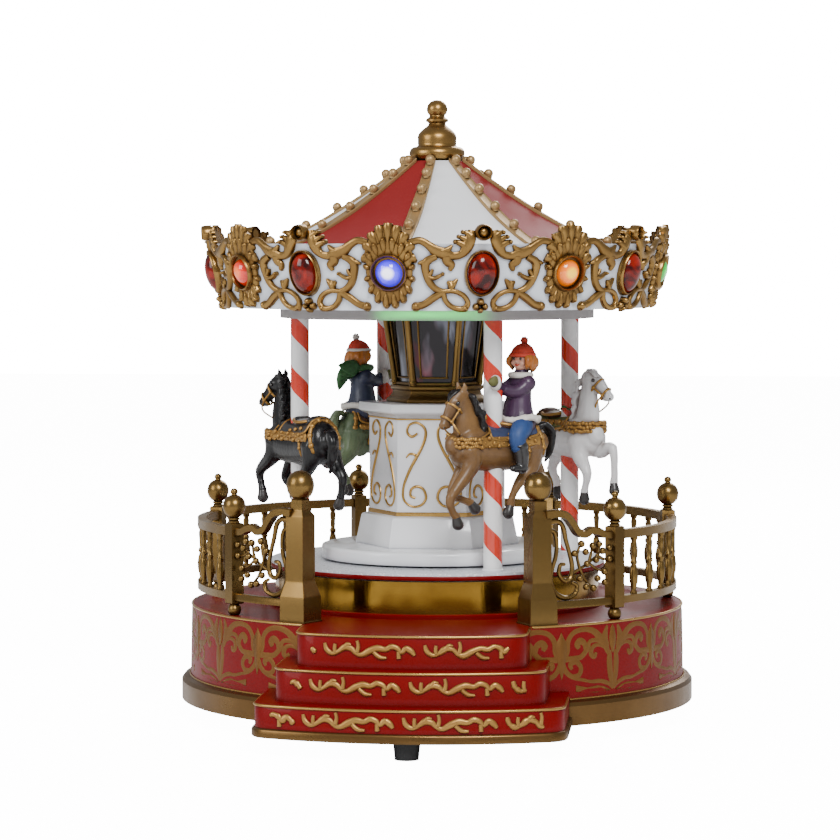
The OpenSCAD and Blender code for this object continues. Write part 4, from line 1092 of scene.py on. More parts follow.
for r, z, half in ((32.75, ledge_z + 0.95, 0.95), (32.35, body_top - 1.6, 0.4)):
    gilt_lines.lathe([(r - 1, z - half), (r, z - half), (r + 0.1, z), (r, z + half), (r - 1, z + half)], 6,
                     closed=True)
piece("pedestal_scrolls", scrolls, line_gold, "base", "antique_gold", "pedestal_scrolls", angle=60)
piece("pedestal_lines", gilt_lines, line_gold, "base", "antique_gold", angle=40)

lamp_z = low("lantern_base").z
frame_low, frame_high = low("lantern_frame").z, high("lantern_frame").z
lamp = hexed(Shape(), lifted([(22.0, 0), (24.0, 0), (24.0, 1.2), (23.4, 2.0), (22.4, 2.6), (21.2, 4.0),
                              (20.8, 5.4),
                              (21.6, 6.0), (22.0, 6.4), (22.0, 7.6), (21.6, 8.0), (18.5, 8.0)], lamp_z))
piece("lantern_base", lamp, worn_brass, "base", "antique_gold", "lantern_base", angle=30, bevel=0.25)
bars = Shape()
LAMP_LOW, LAMP_HIGH = 20.4, 26.1
hexed(bars, [(23.0, frame_high - 3.0), (26.6, frame_high - 3.0), (27.5, frame_high - 2.4),
             (27.5, frame_high - 0.4), (27.0, frame_high), (23.0, frame_high)])
for k in range(6):
    turn = turn_z(60 * k)
    start, stop = Vector((LAMP_LOW - 1.0, 0, frame_low)), Vector((LAMP_HIGH - 1.0, 0, frame_high - 2.4))
    bars.tube([turn @ start.lerp(stop, t / 10) for t in range(11)], [1.9, 1.5, 1.5, 1.5, 1.5, 1.5, 1.9],
              sides=12)
    for t in (0.04, 0.9):
        bars.ball(turn @ start.lerp(stop, t), (2.1, 2.1, 1.4), segs=12)
    for t, w in ((0.02, 0.9), (0.93, 1.1)):
        a = turn @ start.lerp(stop, t)
        b = turn_z(60) @ a
        bars.tube([a.lerp(b, s / 6) for s in range(7)], w, sides=8)
    inner_a, inner_b = turn @ start.lerp(stop, 0.1), turn @ start.lerp(stop, 0.86)
    for s in (0.2, 0.8):
        other_a, other_b = turn_z(60) @ inner_a, turn_z(60) @ inner_b
        bars.tube([inner_a.lerp(other_a, s), inner_b.lerp(other_b, s)], 0.45, sides=6)
    for t in (0.1, 0.86):
        a = turn @ start.lerp(stop, t)
        b = turn_z(60) @ a
        bars.tube([a.lerp(b, 0.18), a.lerp(b, 0.82)], 0.45, sides=6)
piece("lantern_frame", bars, worn_brass, "base", "antique_gold", "lantern_frame", angle=45)

# ---------------------------------------------------------------- poles
POLE_CIRCLE, POLE_R = 68.2, 4.3
pole_low, pole_high = low("poles").z, high("poles").z
LEAD = 25.0
WHITE_PART = 0.7


def wrapped_pole():
    """A pole with its own UV: once around, and height in stripe turns."""
    segs, rows = 32, 48
    mesh = bpy.data.meshes.new("pole")
    verts, uvs = [], []
    for i in range(rows + 1):
        z = pole_low + (pole_high - pole_low) * i / rows
        verts += [(POLE_R * cosd(360 * k / segs) * MM, (-POLE_CIRCLE + POLE_R * sind(360 * k / segs)) * MM,
                   z * MM)
                  for k in range(segs)]
    for i in range(rows):
        for k in range(segs):
            a, b = (pole_high - pole_low) * i / rows / LEAD, (pole_high - pole_low) * (i + 1) / rows / LEAD
            uvs += [(k / segs, a), ((k + 1) / segs, a), ((k + 1) / segs, b), (k / segs, b)]
    uvs += [(WHITE_PART, 0)] * (2 * segs)
    mesh.from_pydata(verts, [], bands(rows + 1, segs) + caps(rows + 1, segs))
    layer = mesh.uv_layers.new(name="wrap")
    for loop, uv in zip(layer.data, uvs):
        loop.uv = uv
    thing = bpy.data.objects.new("poles", mesh)
    bpy.context.scene.collection.objects.link(thing)
    return thing


place(ring_of(wrapped_pole(), pole_paint, 4, POLE_START, 90), "carousel", "striped_pole", "poles")
collars = Shape()
collars.lathe([(POLE_R, 64.5), (POLE_R + 0.7, 64.5), (POLE_R + 0.7, 65.1), (POLE_R + 0.1, 65.6)], 32,
              closed=True, matrix=Matrix.Translation((0, -POLE_CIRCLE, 0)))
around("pole_collars", collars, white_gloss, 4, POLE_START, 90, "carousel", "white_gloss")

# ---------------------------------------------------------------- canopy
BOARD_LOW, BOARD_HIGH = low("rounding_board").z, high("rounding_board").z
BOARD_OUT = high("rounding_board").x
FLARE = 8.5
BOARD_IN = BOARD_OUT - FLARE
STATION = (BOARD_LOW + BOARD_HIGH) / 2
ROOF_IN = 12.7
ROOF_TALL = 45.6
ROOF_LOW = high("roof_panels_red").z - 48.0
ROOF_OUT = 101.8
EIGHTH = 45


def board_r(z):
    return BOARD_IN + FLARE * (z - BOARD_LOW) / (BOARD_HIGH - BOARD_LOW)


STATION_R = board_r(STATION)


TOP_V = 12.0


def on_board(u, v, out):
    """On the board's flared face, and straight up above its top edge."""
    z = STATION + v
    r = board_r(STATION + min(v, TOP_V)) + 0.06 * max(v - TOP_V, 0) + out
    return (r * math.sin(u / STATION_R), -r * math.cos(u / STATION_R), z)


def roof_r(t):
    return ROOF_IN + t * (ROOF_OUT - ROOF_IN)


def roof_z(t):
    return ROOF_LOW + ROOF_TALL * (1 - t) ** 1.5


def roof_panel():
    """The panel from the front to 45 degrees on: flat across at the top and round at the eave."""
    shape = Shape()
    rows, cols, thick = 26, 12, 1.5
    verts = []
    for dz in (0, -thick):
        for i in range(rows + 1):
            t = i / rows
            for j in range(cols + 1):
                off = j / cols - 0.5
                across = 1 - (1 - t) * (1 - cosd(EIGHTH / 2) / cosd(off * EIGHTH))
                r = roof_r(t) * across
                a = -90 + EIGHTH * j / cols
                verts.append((r * cosd(a), r * sind(a), roof_z(t) + dz))
    return shape.add(verts, sheet(rows, cols))


for colour, material, start in (("white", white_satin, RIB_START), ("red", red_satin, RIB_START + EIGHTH)):
    around("roof_panels_" + colour, roof_panel(), material, 4, start, 90, "base", colour + "_satin",
           "roof_panels_" + colour, angle=50)

rib = Shape()
section = [(-3.1, -0.5), (-3.1, 0.9), (-2.6, 1.3), (-2.1, 1.0), (-1.7, 0.95), (1.7, 0.95), (2.1, 1.0),
           (2.6, 1.3), (3.1, 0.9), (3.1, -0.5)]
rib_rows = 40
rib_verts = []
for k in range(rib_rows + 1):
    t = k / rib_rows
    wide = 0.62 + 0.38 * min(1.0, t * 2.5)
    rib_verts += [(x * wide, -roof_r(t), roof_z(t) + h) for x, h in section]
rib.add(rib_verts, bands(rib_rows + 1, len(section)) + caps(rib_rows + 1, len(section)))
around("roof_ribs", rib, rib_gold, 8, RIB_START, EIGHTH, "base", "antique_gold", "roof_ribs", angle=35)

beads = Shape()
for k in range(6):
    r = 16 + k * 7.4 + k * k * 1.1
    t = (r - ROOF_IN) / (ROOF_OUT - ROOF_IN)
    spot = Vector((0, -r, roof_z(t)))
    beads.lathe([(0, 0.4), (1.7, 0.5), (1.6, 1.1), (1.9, 1.6), (2.2, 2.6), (2.15, 3.6), (1.6, 4.5),
                 (0.8, 5.0), (0, 5.1)], 18,
                matrix=Matrix.Translation(spot))
around("rib_beads", beads, rib_gold, 8, RIB_START, EIGHTH, "base", "antique_gold", "rib_beads", angle=45)

tip = Shape()
tip.lathe(lifted([(0, 0), (10.4, 0), (11.4, 1.4), (12.6, 2.4), (13.0, 3.8), (12.9, 5.2), (12.2, 6.4),
                  (11.0, 7.1),
                  (9.4, 7.4), (9.0, 8.0), (9.1, 9.0), (9.1, 10.2), (9.2, 11.8), (8.6, 13.4), (7.2, 15.0),
                  (5.4, 16.4),
                  (4.3, 17.3), (4.0, 18.1), (4.4, 18.6), (5.3, 19.0), (5.3, 20.0), (4.5, 20.6), (3.7, 21.2),
                  (3.6, 21.8), (4.4, 22.7), (4.9, 24.0), (4.9, 25.2), (4.4, 26.8), (3.2, 28.2), (1.6, 29.0),
                  (0, 29.2)], low("finial").z), 56)
piece("finial", tip, antique_gold, "base", "antique_gold", "finial", angle=45)

board = Shape()
wall = 2.5
hem, lip = BOARD_LOW + 2.6, BOARD_HIGH - 6
board.lathe([(board_r(hem) - wall, hem), (board_r(hem), hem), (board_r(lip), lip),
             (board_r(lip) - wall, lip)], 144, closed=True)
piece("rounding_board", board, board_white, "base", "white_satin", "rounding_board", angle=50)

# lit medallions: a beaded panel with a scallop fan above it
panel_line = [(10.3 * cosd(a), 0.4 + 13.9 * sind(a)) for a in range(0, 360, 15)]
medal = Shape()
smooth_line = spline(panel_line, 4, closed=True)
medal.slab(smooth_line, on_board, 2.0, 0.2, 0.6)
PETALS = 16
for k in range(PETALS):
    a = 360 * (k + 0.5) / PETALS
    reach = Vector((11.0 * cosd(a), 0.2 + 15.2 * sind(a)))
    root = Vector((8.0 * cosd(a), 8.4 * sind(a)))
    path = [tuple(root.lerp(reach, t)) for t in (0, 0.35, 0.7, 1.0)]
    wide = 3.0 + 0.9 * abs(sind(a))
    medal.relief(path, [1.4, wide * 0.8, wide, wide * 0.8], on_board, 3.1, 1.0, sides=8)
    medal.stud(reach.x * 0.97, reach.y * 0.97, wide * 0.36, on_board, 3.3, 10, 1.0)
FLUTES = 4
shell_line = []
for k in range(-FLUTES, FLUTES + 1):
    a = k * 19.5
    root, rim_at = (6.8 * sind(a), 3 + 8.6 * cosd(a)), (12.0 * sind(a), 3.4 + 18.6 * cosd(a))
    path = [tuple(Vector(root).lerp(Vector(rim_at), t)) for t in (0, 0.3, 0.6, 0.85, 1.0)]
    medal.relief(path, [2.2, 3.0, 4.2, 5.0, 3.6], on_board, 3.0 - 0.12 * abs(k), 0.4, sides=8)
    shell_line.append(rim_at)
medal.slab([(p[0] * 0.93, p[1] * 0.94) for p in shell_line] + [(9.0, 2.0), (-9.0, 2.0)], on_board, 1.9, 0.2,
           0.3)
medal.relief(spiral(0, 0, 7.6, 7.6, 0, 360, 40), 1.6, on_board, 4.4, 1.0, sides=8)
around("medallions", medal, antique_gold, 8, RIB_START, EIGHTH, "base", "antique_gold", "shell_medallions",
       angle=50)


LENS_R = 6.4


def lens_disc():
    """A domed lens with its own flat UV, from -1 to 1 across."""
    shape = Shape()
    shape.stud(0, 0, LENS_R, on_board, 5.4, 32, 1.6)
    thing = to_object("lens", shape, None)
    outwards(thing.data)
    layer = thing.data.uv_layers.new(name="disc")
    for loop in thing.data.loops:
        co = thing.data.vertices[loop.vertex_index].co / MM
        layer.data[loop.index].uv = (math.atan2(co.x, -co.y) * STATION_R / LENS_R, (co.z - STATION) / LENS_R)
    return thing


LENSES = (("violet", violet_lens), ("amber", amber_lens), ("green", green_lens), ("red", red_lens))
for i, (name, material) in enumerate(LENSES):
    lit = ring_of(lens_disc(), material, 2, RIB_START + EIGHTH * i, 180)
    lit.name = name + "_lenses"
    place(lit, "base", "lens_clear", *(("led_lenses",) if i == 0 else ()))

# jewels in their ovals, with the pierced scrollwork between the medallions
gems = Shape()
turn = Matrix.Translation((0, -STATION_R - 1.6, STATION)) @ Matrix.Rotation(math.atan(FLARE / 38), 4, "X")
gems.ball((0, 0, 0), (6.3, 4.4, 8.8), segs=40)
gems.move(turn)
around("jewels", gems, jewel_glass, 8, JEWEL_START, EIGHTH, "base", "jewel_red", "jewels", angle=80)

FRET = [
    ([(31.4, 13.3), (27.2, 14.4), (23.6, 12.6), (20.1, 9.8), (16, 8.4), (12.7, 7.6), (9.2, 8.4), (7.0, 11.3),
      (5.6, 15.3), (4.9, 18.9)], [2.6, 2.8, 3.0, 4.2, 4.6, 3.0, 3.0, 4.4, 4.6, 2.6]),
    ([(17.5, 9.3), (15.0, 10.4), (13.2, 12.3)], [3.0, 2.4, 0.8]),
    ([(7.2, 11.6), (9.6, 13.1), (11.6, 13.7)], [3.4, 2.4, 1.8]),
    ([(6.2, 14.0), (8.6, 15.4), (10.2, 15.9)], [3.0, 2.2, 1.6]),
    ([(5.4, 16.4), (7.0, 17.6), (8.4, 17.9)], [3.0, 2.2, 1.6]),
    ([(15.6, 7.2), (15.3, 5.2), (13.4, 3.6), (14.2, 1.1)], [3.6, 3.4, 3.0, 1.2]),
    ([(20.0, 7.4), (23.6, 5.6), (24.8, 3.2), (24.2, -0.5), (22.8, -4.2), (20.1, -6.9), (16.9, -8.1)],
     [2.4, 3.2, 3.2, 3.0, 2.8, 2.6, 2.2]),
    ([(24.4, 5.0), (26.2, 4.7), (28.0, 4.2)], [2.6, 1.9, 0.6]),
    ([(23.6, -1.6), (21.4, -2.2), (19.4, -1.6), (17.4, -0.4)], [1.8, 1.7, 1.7, 1.2]),
    ([(23.0, -1.0), (22.0, 0.6), (21.6, 1.8)], [1.6, 1.5, 1.1]),
    ([(13.5, -8.0), (13.4, -5.4), (15.2, -3.5)], [1.6, 3.0, 0.9]),
    ([(13.5, -6.0), (12.2, -4.3), (10.7, -2.5)], [3.0, 2.3, 0.8]),
    ([(13.4, -5.2), (13.3, -3.2)], [2.6, 0.9]),
    ([(17.4, -8.1), (13.8, -7.7), (10.5, -8.3), (7.4, -10.1), (5.7, -13.0), (6.9, -15.4)],
     [2.0, 1.9, 1.9, 2.0, 2.1, 2.6]),
    ([(16.9, -8.6), (15.8, -12.0), (13.2, -14.6), (9.8, -15.7), (7.2, -15.5)], [2.2, 2.1, 2.1, 2.2, 2.6]),
    ([(17.0, -8.4), (21.0, -10.6), (25.4, -13.6), (29.3, -14.6)], [2.4, 3.0, 2.8, 3.2]),
]
FRET_BOLD = 1.18
fret = Shape()
for flip in (-1, 1):
    for path, widths in FRET:
        fret.relief(spline([(x * flip, y) for x, y in path], 4), [w * FRET_BOLD for w in widths], on_board,
                    2.3, 0.2, sides=6, dome=0.45)
    for u, v, r in ((11.9, 13.8, 1.15), (10.5, 16.0, 1.05), (8.7, 18.0, 1.1), (6.9, -15.5, 1.6),
                    (29.2, -14.7, 2.2), (17.2, -0.3, 1.0), (2.0, -14.7, 1.7)):
        fret.stud(u * flip, v, r, on_board, 2.9, 12, 0.3)
fret.stud(0, -12.6, 1.8, on_board, 4.0, 12, 0.3)
fret.stud(0, -16.3, 1.4, on_board, 3.6, 12, 0.3)
fret.stud(0, 17.9, 2.9, on_board, 3.0, 20, 0.3)
fret.relief([(3.1 * cosd(a), 17.9 + 3.1 * sind(a)) for a in range(0, 375, 15)], 1.3, on_board, 4.6, 1.0)
fret.relief([(7.1 * cosd(a), 9.6 * sind(a)) for a in range(0, 370, 10)], 1.5, on_board, 3.3, 0.2, sides=8)
around("fretwork", fret, antique_gold, 8, JEWEL_START, EIGHTH, "base", "antique_gold", "fretwork", angle=55)

# ---------------------------------------------------------------- horses
BELLY = 109.5
HEADING = 11


def on_pole(i):
    """The place of the horse on pole i, which heads a little outwards."""
    return turn_z(POLE_START + 90 * i) @ Matrix.Translation((0, -POLE_CIRCLE, BELLY)) @ turn_z(HEADING)


def P(f, s, h):
    """Forward, outward and up on a horse."""
    return Vector((-f, -s, h))


def clay(name, shape, material, body, slot, *nodes, voxel=0.55, smooth=4, matrix=None):
    """Melts overlapping lumps into one skin."""
    if matrix is not None:
        shape.move(matrix)
    thing = to_object(name, shape, material)
    outwards(thing.data, weld=False)
    melt = thing.modifiers.new("melt", "REMESH")
    melt.mode = "VOXEL"
    melt.voxel_size = voxel * MM
    soft = thing.modifiers.new("soft", "SMOOTH")
    soft.factor = 0.5
    soft.iterations = smooth
    applied(thing)
    thing.data.materials.clear()
    thing.data.materials.append(material)
    thing.data.shade_smooth()
    return place(thing, body, slot, *nodes)


BARREL = [(-25.5, 12.6, 4.2), (-23.5, 12.2, 6.9), (-19, 11.6, 8.4), (-12, 10.6, 8.3), (-4, 9.8, 8.1),
          (5, 10.2, 8.2), (12, 11.4, 8.5), (17, 12.0, 7.6), (20.5, 12.6, 4.6)]
DEEP = 1.2


def barrel_at(f):
    for a, b in zip(BARREL, BARREL[1:]):
        if f <= b[0]:
            t = (f - a[0]) / (b[0] - a[0])
            return a[1] + (b[1] - a[1]) * t, a[2] + (b[2] - a[2]) * t
    return BARREL[-1][1:]


def on_barrel(f, a, grow):
    """A point on the horse's side: f along it, a degrees down from the back, positive outwards."""
    h, r = barrel_at(f)
    return P(f, (r + grow) * sind(a), h + (r + grow) * DEEP * cosd(a))


def draped(shape, f0, f1, down, grow, thick, rows=10, cols=24, ragged=0.0):
    """A blanket patch over the back between two places, hanging `down` degrees on each side."""
    verts = []
    for layer in (0, 1):
        for i in range(rows + 1):
            for j in range(cols + 1):
                a = -down + 2 * down * j / cols
                wave = ragged * math.sin(j * 2.1 + i) * (abs(a) / down) ** 4
                f = f0 + (f1 - f0) * i / rows + wave
                verts.append(on_barrel(f, a, grow + thick * layer + 0.18 * math.sin(i * 1.9 + j * 0.8)))
    return shape.add(verts, sheet(rows, cols))


def leg(shape, hoof, points, side):
    """A leg through (f, h) points: top, elbow or stifle, knee or hock, fetlock, hoof."""
    path = [P(f, s, h) for (f, h), s in zip(points, side)]
    shape.tube(spline(path, 5), [6.4, 4.6, 3.3, 2.35, 1.75, 1.75, 2.1], sides=12)
    shape.ball(path[2], 2.5, segs=12)
    shape.ball(path[-1], (2.1, 2.1, 1.9), segs=12)
    down = (path[-1] - path[-2]).normalized()
    foot = (down + Vector((-0.25, 0, -0.5))).normalized()
    end = path[-1] + foot * 1.0
    hoof.tube([end, end + foot * 1.4, end + foot * 2.9], [2.0, 2.3, 2.7], sides=14)


def strand(shape, root, tip, bend, r0=1.3, r1=0.35, waves=1.0, seed=0.0):
    """One wavy lock from root to tip."""
    pts = []
    for k in range(9):
        t = k / 8
        p = root.lerp(tip, t) + bend * math.sin(math.pi * t)
        p += Vector((0.55 * math.sin(6.3 * t * waves + seed), 0.35 * math.cos(5.1 * t * waves + seed * 2),
                     0)) * t
        pts.append(p)
    shape.tube(pts, [r0, r0 * 1.1, r0 * 0.9, r1], sides=8)


STEEDS = {
    "brown": dict(
        pole=0, look=4, belt=13.6, belt_wide=2.5, neck=[(12.5, 13), (14.2, 21), (14.8, 28), (17.6, 33.4)],
        head=[(17.4, 33.8), (20.8, 30.6), (24, 26), (26.3, 22)],
        ears=True, near_fore=[(15, 9), (15.5, 2.5), (26, -10.5), (25, -17), (23.2, -19)],
        far_fore=[(13, 8), (12.5, 2), (18.5, -9.5), (13, -12.5), (9, -14)],
        near_hind=[(-18, 9), (-17, 1.5), (-10.5, -5.2), (-6.8, -11.6), (-6.2, -15)],
        far_hind=[(-20, 9), (-26, 2), (-30.2, -4.6), (-29, -10.6), (-28.4, -13)],
        tail=[(-23.5, 18), (-27.5, 20.5), (-31.4, 16.5), (-31.4, 9), (-28.6, 3.6)]),
    "white": dict(
        pole=1, look=26, belt=16.0, belt_wide=2.7, neck=[(13, 14), (15.4, 22.5), (15.6, 31), (16.6, 38)],
        head=[(16.4, 38.6), (19.6, 37.4), (23.8, 33.6), (26.4, 30.6)],
        ears=False, near_fore=[(15, 9), (18.5, 4.6), (27.4, 6.2), (29.4, -4.8), (29.2, -9.8)],
        far_fore=[(14, 8), (16, 2), (22, -5.5), (20.4, -12), (19.4, -14.2)],
        near_hind=[(-18, 9), (-17.5, 2), (-22, -5.5), (-18.6, -12), (-17.6, -14.6)],
        far_hind=[(-19, 9), (-21, 2), (-28.5, -4), (-27.8, -10), (-27.2, -12.6)],
        tail=[(-24.5, 17), (-27.8, 18), (-30, 13), (-29.6, 6), (-27.4, 0)]),
    "green": dict(
        pole=2, look=0, belt=14.0, belt_wide=1.6, neck=[(12.5, 13), (14.4, 21), (15.2, 29), (17.2, 35)],
        head=[(17, 35.6), (20.6, 33.2), (24.2, 28.8), (26.6, 25.2)],
        ears=True, near_fore=[(15, 9), (16.5, 2.5), (25.4, -7), (24.6, -13.4), (23.4, -16)],
        far_fore=[(13, 8), (13.5, 2), (19.5, -9.5), (14.4, -13), (11, -14.5)],
        near_hind=[(-18, 10), (-19, 2), (-23.4, -5), (-19.8, -11), (-19.2, -14.2)],
        far_hind=[(-20, 10), (-23, 2), (-29.4, -4.6), (-28.4, -10.6), (-28, -13)],
        tail=[(-24, 20), (-27.4, 20.6), (-30.2, 15), (-30, 8), (-28, 2)]),
    "black": dict(
        pole=3, look=22, belt=14.0, belt_wide=2.2, neck=[(13, 14), (15.4, 22.5), (15.4, 30.5), (16.8, 37)],
        head=[(16.6, 37.6), (20, 36.2), (24.2, 32.2), (27, 28.8)],
        ears=True, near_fore=[(15, 9), (17.5, 3.4), (27.6, -3.6), (27.2, -9.6), (26.4, -12.2)],
        far_fore=[(14, 8), (15.5, 2), (22.5, -6.5), (18.4, -10.4), (15.6, -11.6)],
        near_hind=[(-18, 9), (-17.5, 2), (-12.4, -5), (-9, -11), (-8.4, -14)],
        far_hind=[(-19, 9), (-23, 2), (-29, -4), (-28.6, -10), (-28, -13)],
        tail=[(-24.5, 16.6), (-27.8, 16), (-29.6, 11), (-28.8, 4), (-27, -2)]),
}


def make_horse(colour, coat_mat, mane_mat):
    look = STEEDS[colour]
    spot = on_pole(look["pole"])
    coat, hair, hooves, tack, eyes = Shape(), Shape(), Shape(), Shape(), Shape()
    rows = spline(BARREL, 3)
    coat.tube([P(p.x, 0, p.y) for p in rows], [p.z for p in rows], sides=24, flat=DEEP, across=(0, 0, 1))
    neck = spline([P(f, 0, h) for f, h in look["neck"]], 5)
    coat.tube(neck, [8.0, 6.9, 5.4, 4.1], sides=20, flat=0.68, across=(0, 1, 0))
    head = spline([P(f, 0, h) for f, h in look["head"]], 5)
    skull = Shape()
    skull.tube(head, [4.6, 4.3, 3.0, 2.5], sides=18, flat=0.72, across=(0, 1, 0))
    poll, brow, _, nose = (P(f, 0, h) for f, h in look["head"])
    along = (nose - poll).normalized()
    under = (Vector((0, 0, -1)) - along * along.dot(Vector((0, 0, -1)))).normalized()
    skull.ball(poll.lerp(brow, 0.75) + under * 2.1, (3.3, 2.6, 3.3), segs=14)
    skull.ball(nose + along * 0.6 - under * 0.2, (2.5, 2.1, 2.3), segs=14)
    skull.ball(nose - along * 0.4 + under * 1.9, (1.7, 1.5, 1.3), segs=12)
    coat.ball(P(17.5, 0, 9.5), (5, 6.6, 6.2), segs=16)
    coat.ball(P(-19.5, 0, 12), (6.4, 8.3, 8.4), segs=16)
    for s in (-1, 1):
        skull.ball(poll.lerp(brow, 0.8) - under * 1.5 + Vector((0, s * 2.3, 0)), 1.25, segs=10)
        eyes.ball(poll.lerp(brow, 0.92) - under * 0.9 + Vector((0, s * 3.15, 0)), 0.95, segs=12)
        eyes.ball(nose + along * 1.9 - under * 0.3 + Vector((0, s * 1.35, 0)), 0.55, segs=8)
        if look["ears"]:
            base = poll + Vector((0.4, s * 1.9, 2.6))
            skull.tube([base, base + Vector((0.2, s * 0.6, 2.2)), base + Vector((-0.5, s * 0.5, 4.2))],
                       [1.3, 1.25, 0.4], sides=10)
        coat.ball(P(-17.5, s * 4.6, 6.5), (6.4, 3.6, 7.4), segs=14)
        coat.ball(P(14.5, s * 4.2, 7.5), (5.4, 3.4, 6.4), segs=14)
    nod = Matrix.Translation(poll) @ turn_z(look["look"]) @ Matrix.Translation(-poll)
    coat.join(skull, nod)
    for key, side in (("near_fore", 1), ("far_fore", -1), ("near_hind", 1), ("far_hind", -1)):
        pts = look[key]
        leg(coat, hooves, pts, [side * s for s in (3.6, 5.0, 5.4, 5.2, 5.0)])
    tail = spline([P(f, 0, h) for f, h in look["tail"]], 5)
    for k in range(7):
        a = 2 * math.pi * k / 7
        shift = Vector((0.7 * math.cos(a), 1.7 * math.sin(a), 0))
        pts = [p + shift * math.sin(math.pi * min(1, (j + 2) / len(tail)))
               + Vector((0.35 * math.sin(j * 0.9 + k), 0.35 * math.cos(j * 0.8 + k * 2), 0))
               for j, p in enumerate(tail)]
        hair.tube(pts, [1.0, 1.4, 1.5, 1.1, 0.4], sides=8)
    count = 13
    for k in range(count):
        t = k / (count - 1)
        q = neck[min(int((1 - t) * (len(neck) - 1) + 0.5), len(neck) - 1)]
        thick = 4.1 + 3.2 * t
        crest = q + Vector((thick * (0.8 + 0.1 * t), 0, 0.9 * (1 - t)))
        for s in (-1, 1):
            drop = 5.0 + 3.2 * math.sin(k * 2.3 + s)
            end = crest + Vector((1.6 + 0.9 * math.sin(k * 1.7), s * (thick * 0.62 + 0.8), -drop))
            strand(hair, crest + Vector((0, s * 0.5, 0)), end, Vector((0.8, s * 1.6, 0.8)), 1.35, 0.4, 1.0,
                   k + s)
    for s in (-1, 0, 1):
        top = poll + Vector((0.2, s * 0.9, 4.0 if not look["ears"] else 3.2))
        strand(hair, top, brow - under * 3.4 + Vector((-0.6, s * 1.2, -0.4)), Vector((-0.8, 0, 1.0)), 1.1,
               0.35, 1.0, s * 2)
    # harness: breast band with nuggets, girth, crupper, bridle and reins
    belt = []
    for k in range(49):
        a = 118 * (k / 24 - 1)
        if abs(a) < 90:
            f, s = 11.5 + 10.8 * cosd(a) ** 0.85, 8.6 * sind(a)
        else:
            f = 11.5 - (abs(a) - 90) * 1.1
            middle, r = barrel_at(f)
            s = math.copysign(0.3 + r * math.sqrt(max(0.2, 1 - ((look["belt"] - middle) / (r * DEEP)) ** 2)),
                              a)
        belt.append(P(f, s, look["belt"]))
    belt = spline(belt, 2)
    tall = look["belt_wide"]
    tack.tube(belt, 0.8, sides=12, flat=tall / 0.8, across=(0, 0, 1))
    for k, p in enumerate(belt[1:-1]):
        ahead = (belt[k + 2] - belt[k]).normalized()
        out = Vector((ahead.y, -ahead.x, 0))
        if out.dot(p - P(0, 0, look["belt"])) < 0:
            out.negate()
        for row in (-1, 0, 1):
            if (k + row) % 2 == 0:
                nugget = p + out * 0.55 + Vector((0, 0, row * tall * 0.66 + 0.3 * math.sin(k * 3.7 + row)))
                tack.ball(nugget, 1.0 + 0.22 * math.sin(k * 1.7 + row * 2), segs=8)
    for f, wide in ((-21.0, 1.0), (-12.5, 0.8)):
        hoop = [on_barrel(f + 1.8 * cosd(a * 1.5), a, 0.15) for a in range(-120, 121, 10)]
        tack.tube(hoop, wide, sides=8)
        for k, p in enumerate(hoop):
            if k % 3 == 1:
                tack.ball(p, wide * 1.55, segs=8)
    bridle = Shape()
    for t, r in ((0.42, 4.0), (0.86, 3.0)):
        centre = poll.lerp(nose, t)
        loop = [centre + Vector((0, 1, 0)) * r * 0.86 * sind(a) + under * (r * 1.12 * cosd(a))
                for a in range(0, 361, 20)]
        bridle.tube(loop, 0.55, sides=6, round_ends=False)
    for s in (-1, 1):
        cheek = poll.lerp(nose, 0.42) + Vector((0, s * 3.5, 0)) + under * 0.6
        bit = poll.lerp(nose, 0.86) + Vector((0, s * 2.7, 0)) + under * 0.8
        bridle.tube([cheek, bit], 0.5, sides=6)
        bridle.ball(bit, 0.95, segs=10)
        bridle.ball(cheek, 0.95, segs=10)
        bit = nod @ bit
        slack = [bit, bit + Vector((3.2, s * 1.6, -5.5)), P(13, s * 7.2, 15.5), P(6.5, s * 7.6, 18.5)]
        tack.tube(spline(slack, 5), 0.45, sides=6)
    tack.join(bridle, nod)
    eyes.move(nod)
    clay(colour + "_horse", coat, coat_mat, "carousel", "horse_" + colour, colour + "_horse", matrix=spot)
    clay(colour + "_mane_and_tail", hair, mane_mat, "carousel", "horse_" + colour, voxel=0.42, smooth=1,
         matrix=spot)
    for part, shape, material, slot, angle in (("_hooves", hooves, hoof_dark, "horse_black", 50),
                                               ("_harness", tack, tack_gold, "gold_foil", 60),
                                               ("_eyes", eyes, eye_black, "horse_black", 60)):
        piece(colour + part, shape.move(spot), material, "carousel", slot, angle=angle)


for colour, paint, mane in (("brown", brown_paint, mane_black), ("white", white_paint, mane_grey),
                            ("green", green_paint, green_paint), ("black", black_paint, black_paint)):
    make_horse(colour, paint, mane)


# ---------------------------------------------------------------- saddles and riders
def saddle_parts():
    """A seat with a raised rim, for the place behind the pole."""
    seat, rim = Shape(), Shape()
    for f, s, h, r in ((-9, 0, 20.6, (7.5, 6.6, 1.9)), (-17, 0, 21.6, (3.2, 6.4, 2.4)),
                       (-2.5, 0, 21.4, (2.6, 4.6, 2.4))):
        seat.ball(P(f, s, h), r, segs=20)
    ring = [P(-9.5 + 9.6 * cosd(a), 6.9 * sind(a), 20.8 + 1.5 * abs(cosd(a)) ** 2) for a in range(0, 361, 12)]
    rim.tube(ring, 0.75, sides=8, round_ends=False)
    return seat, rim


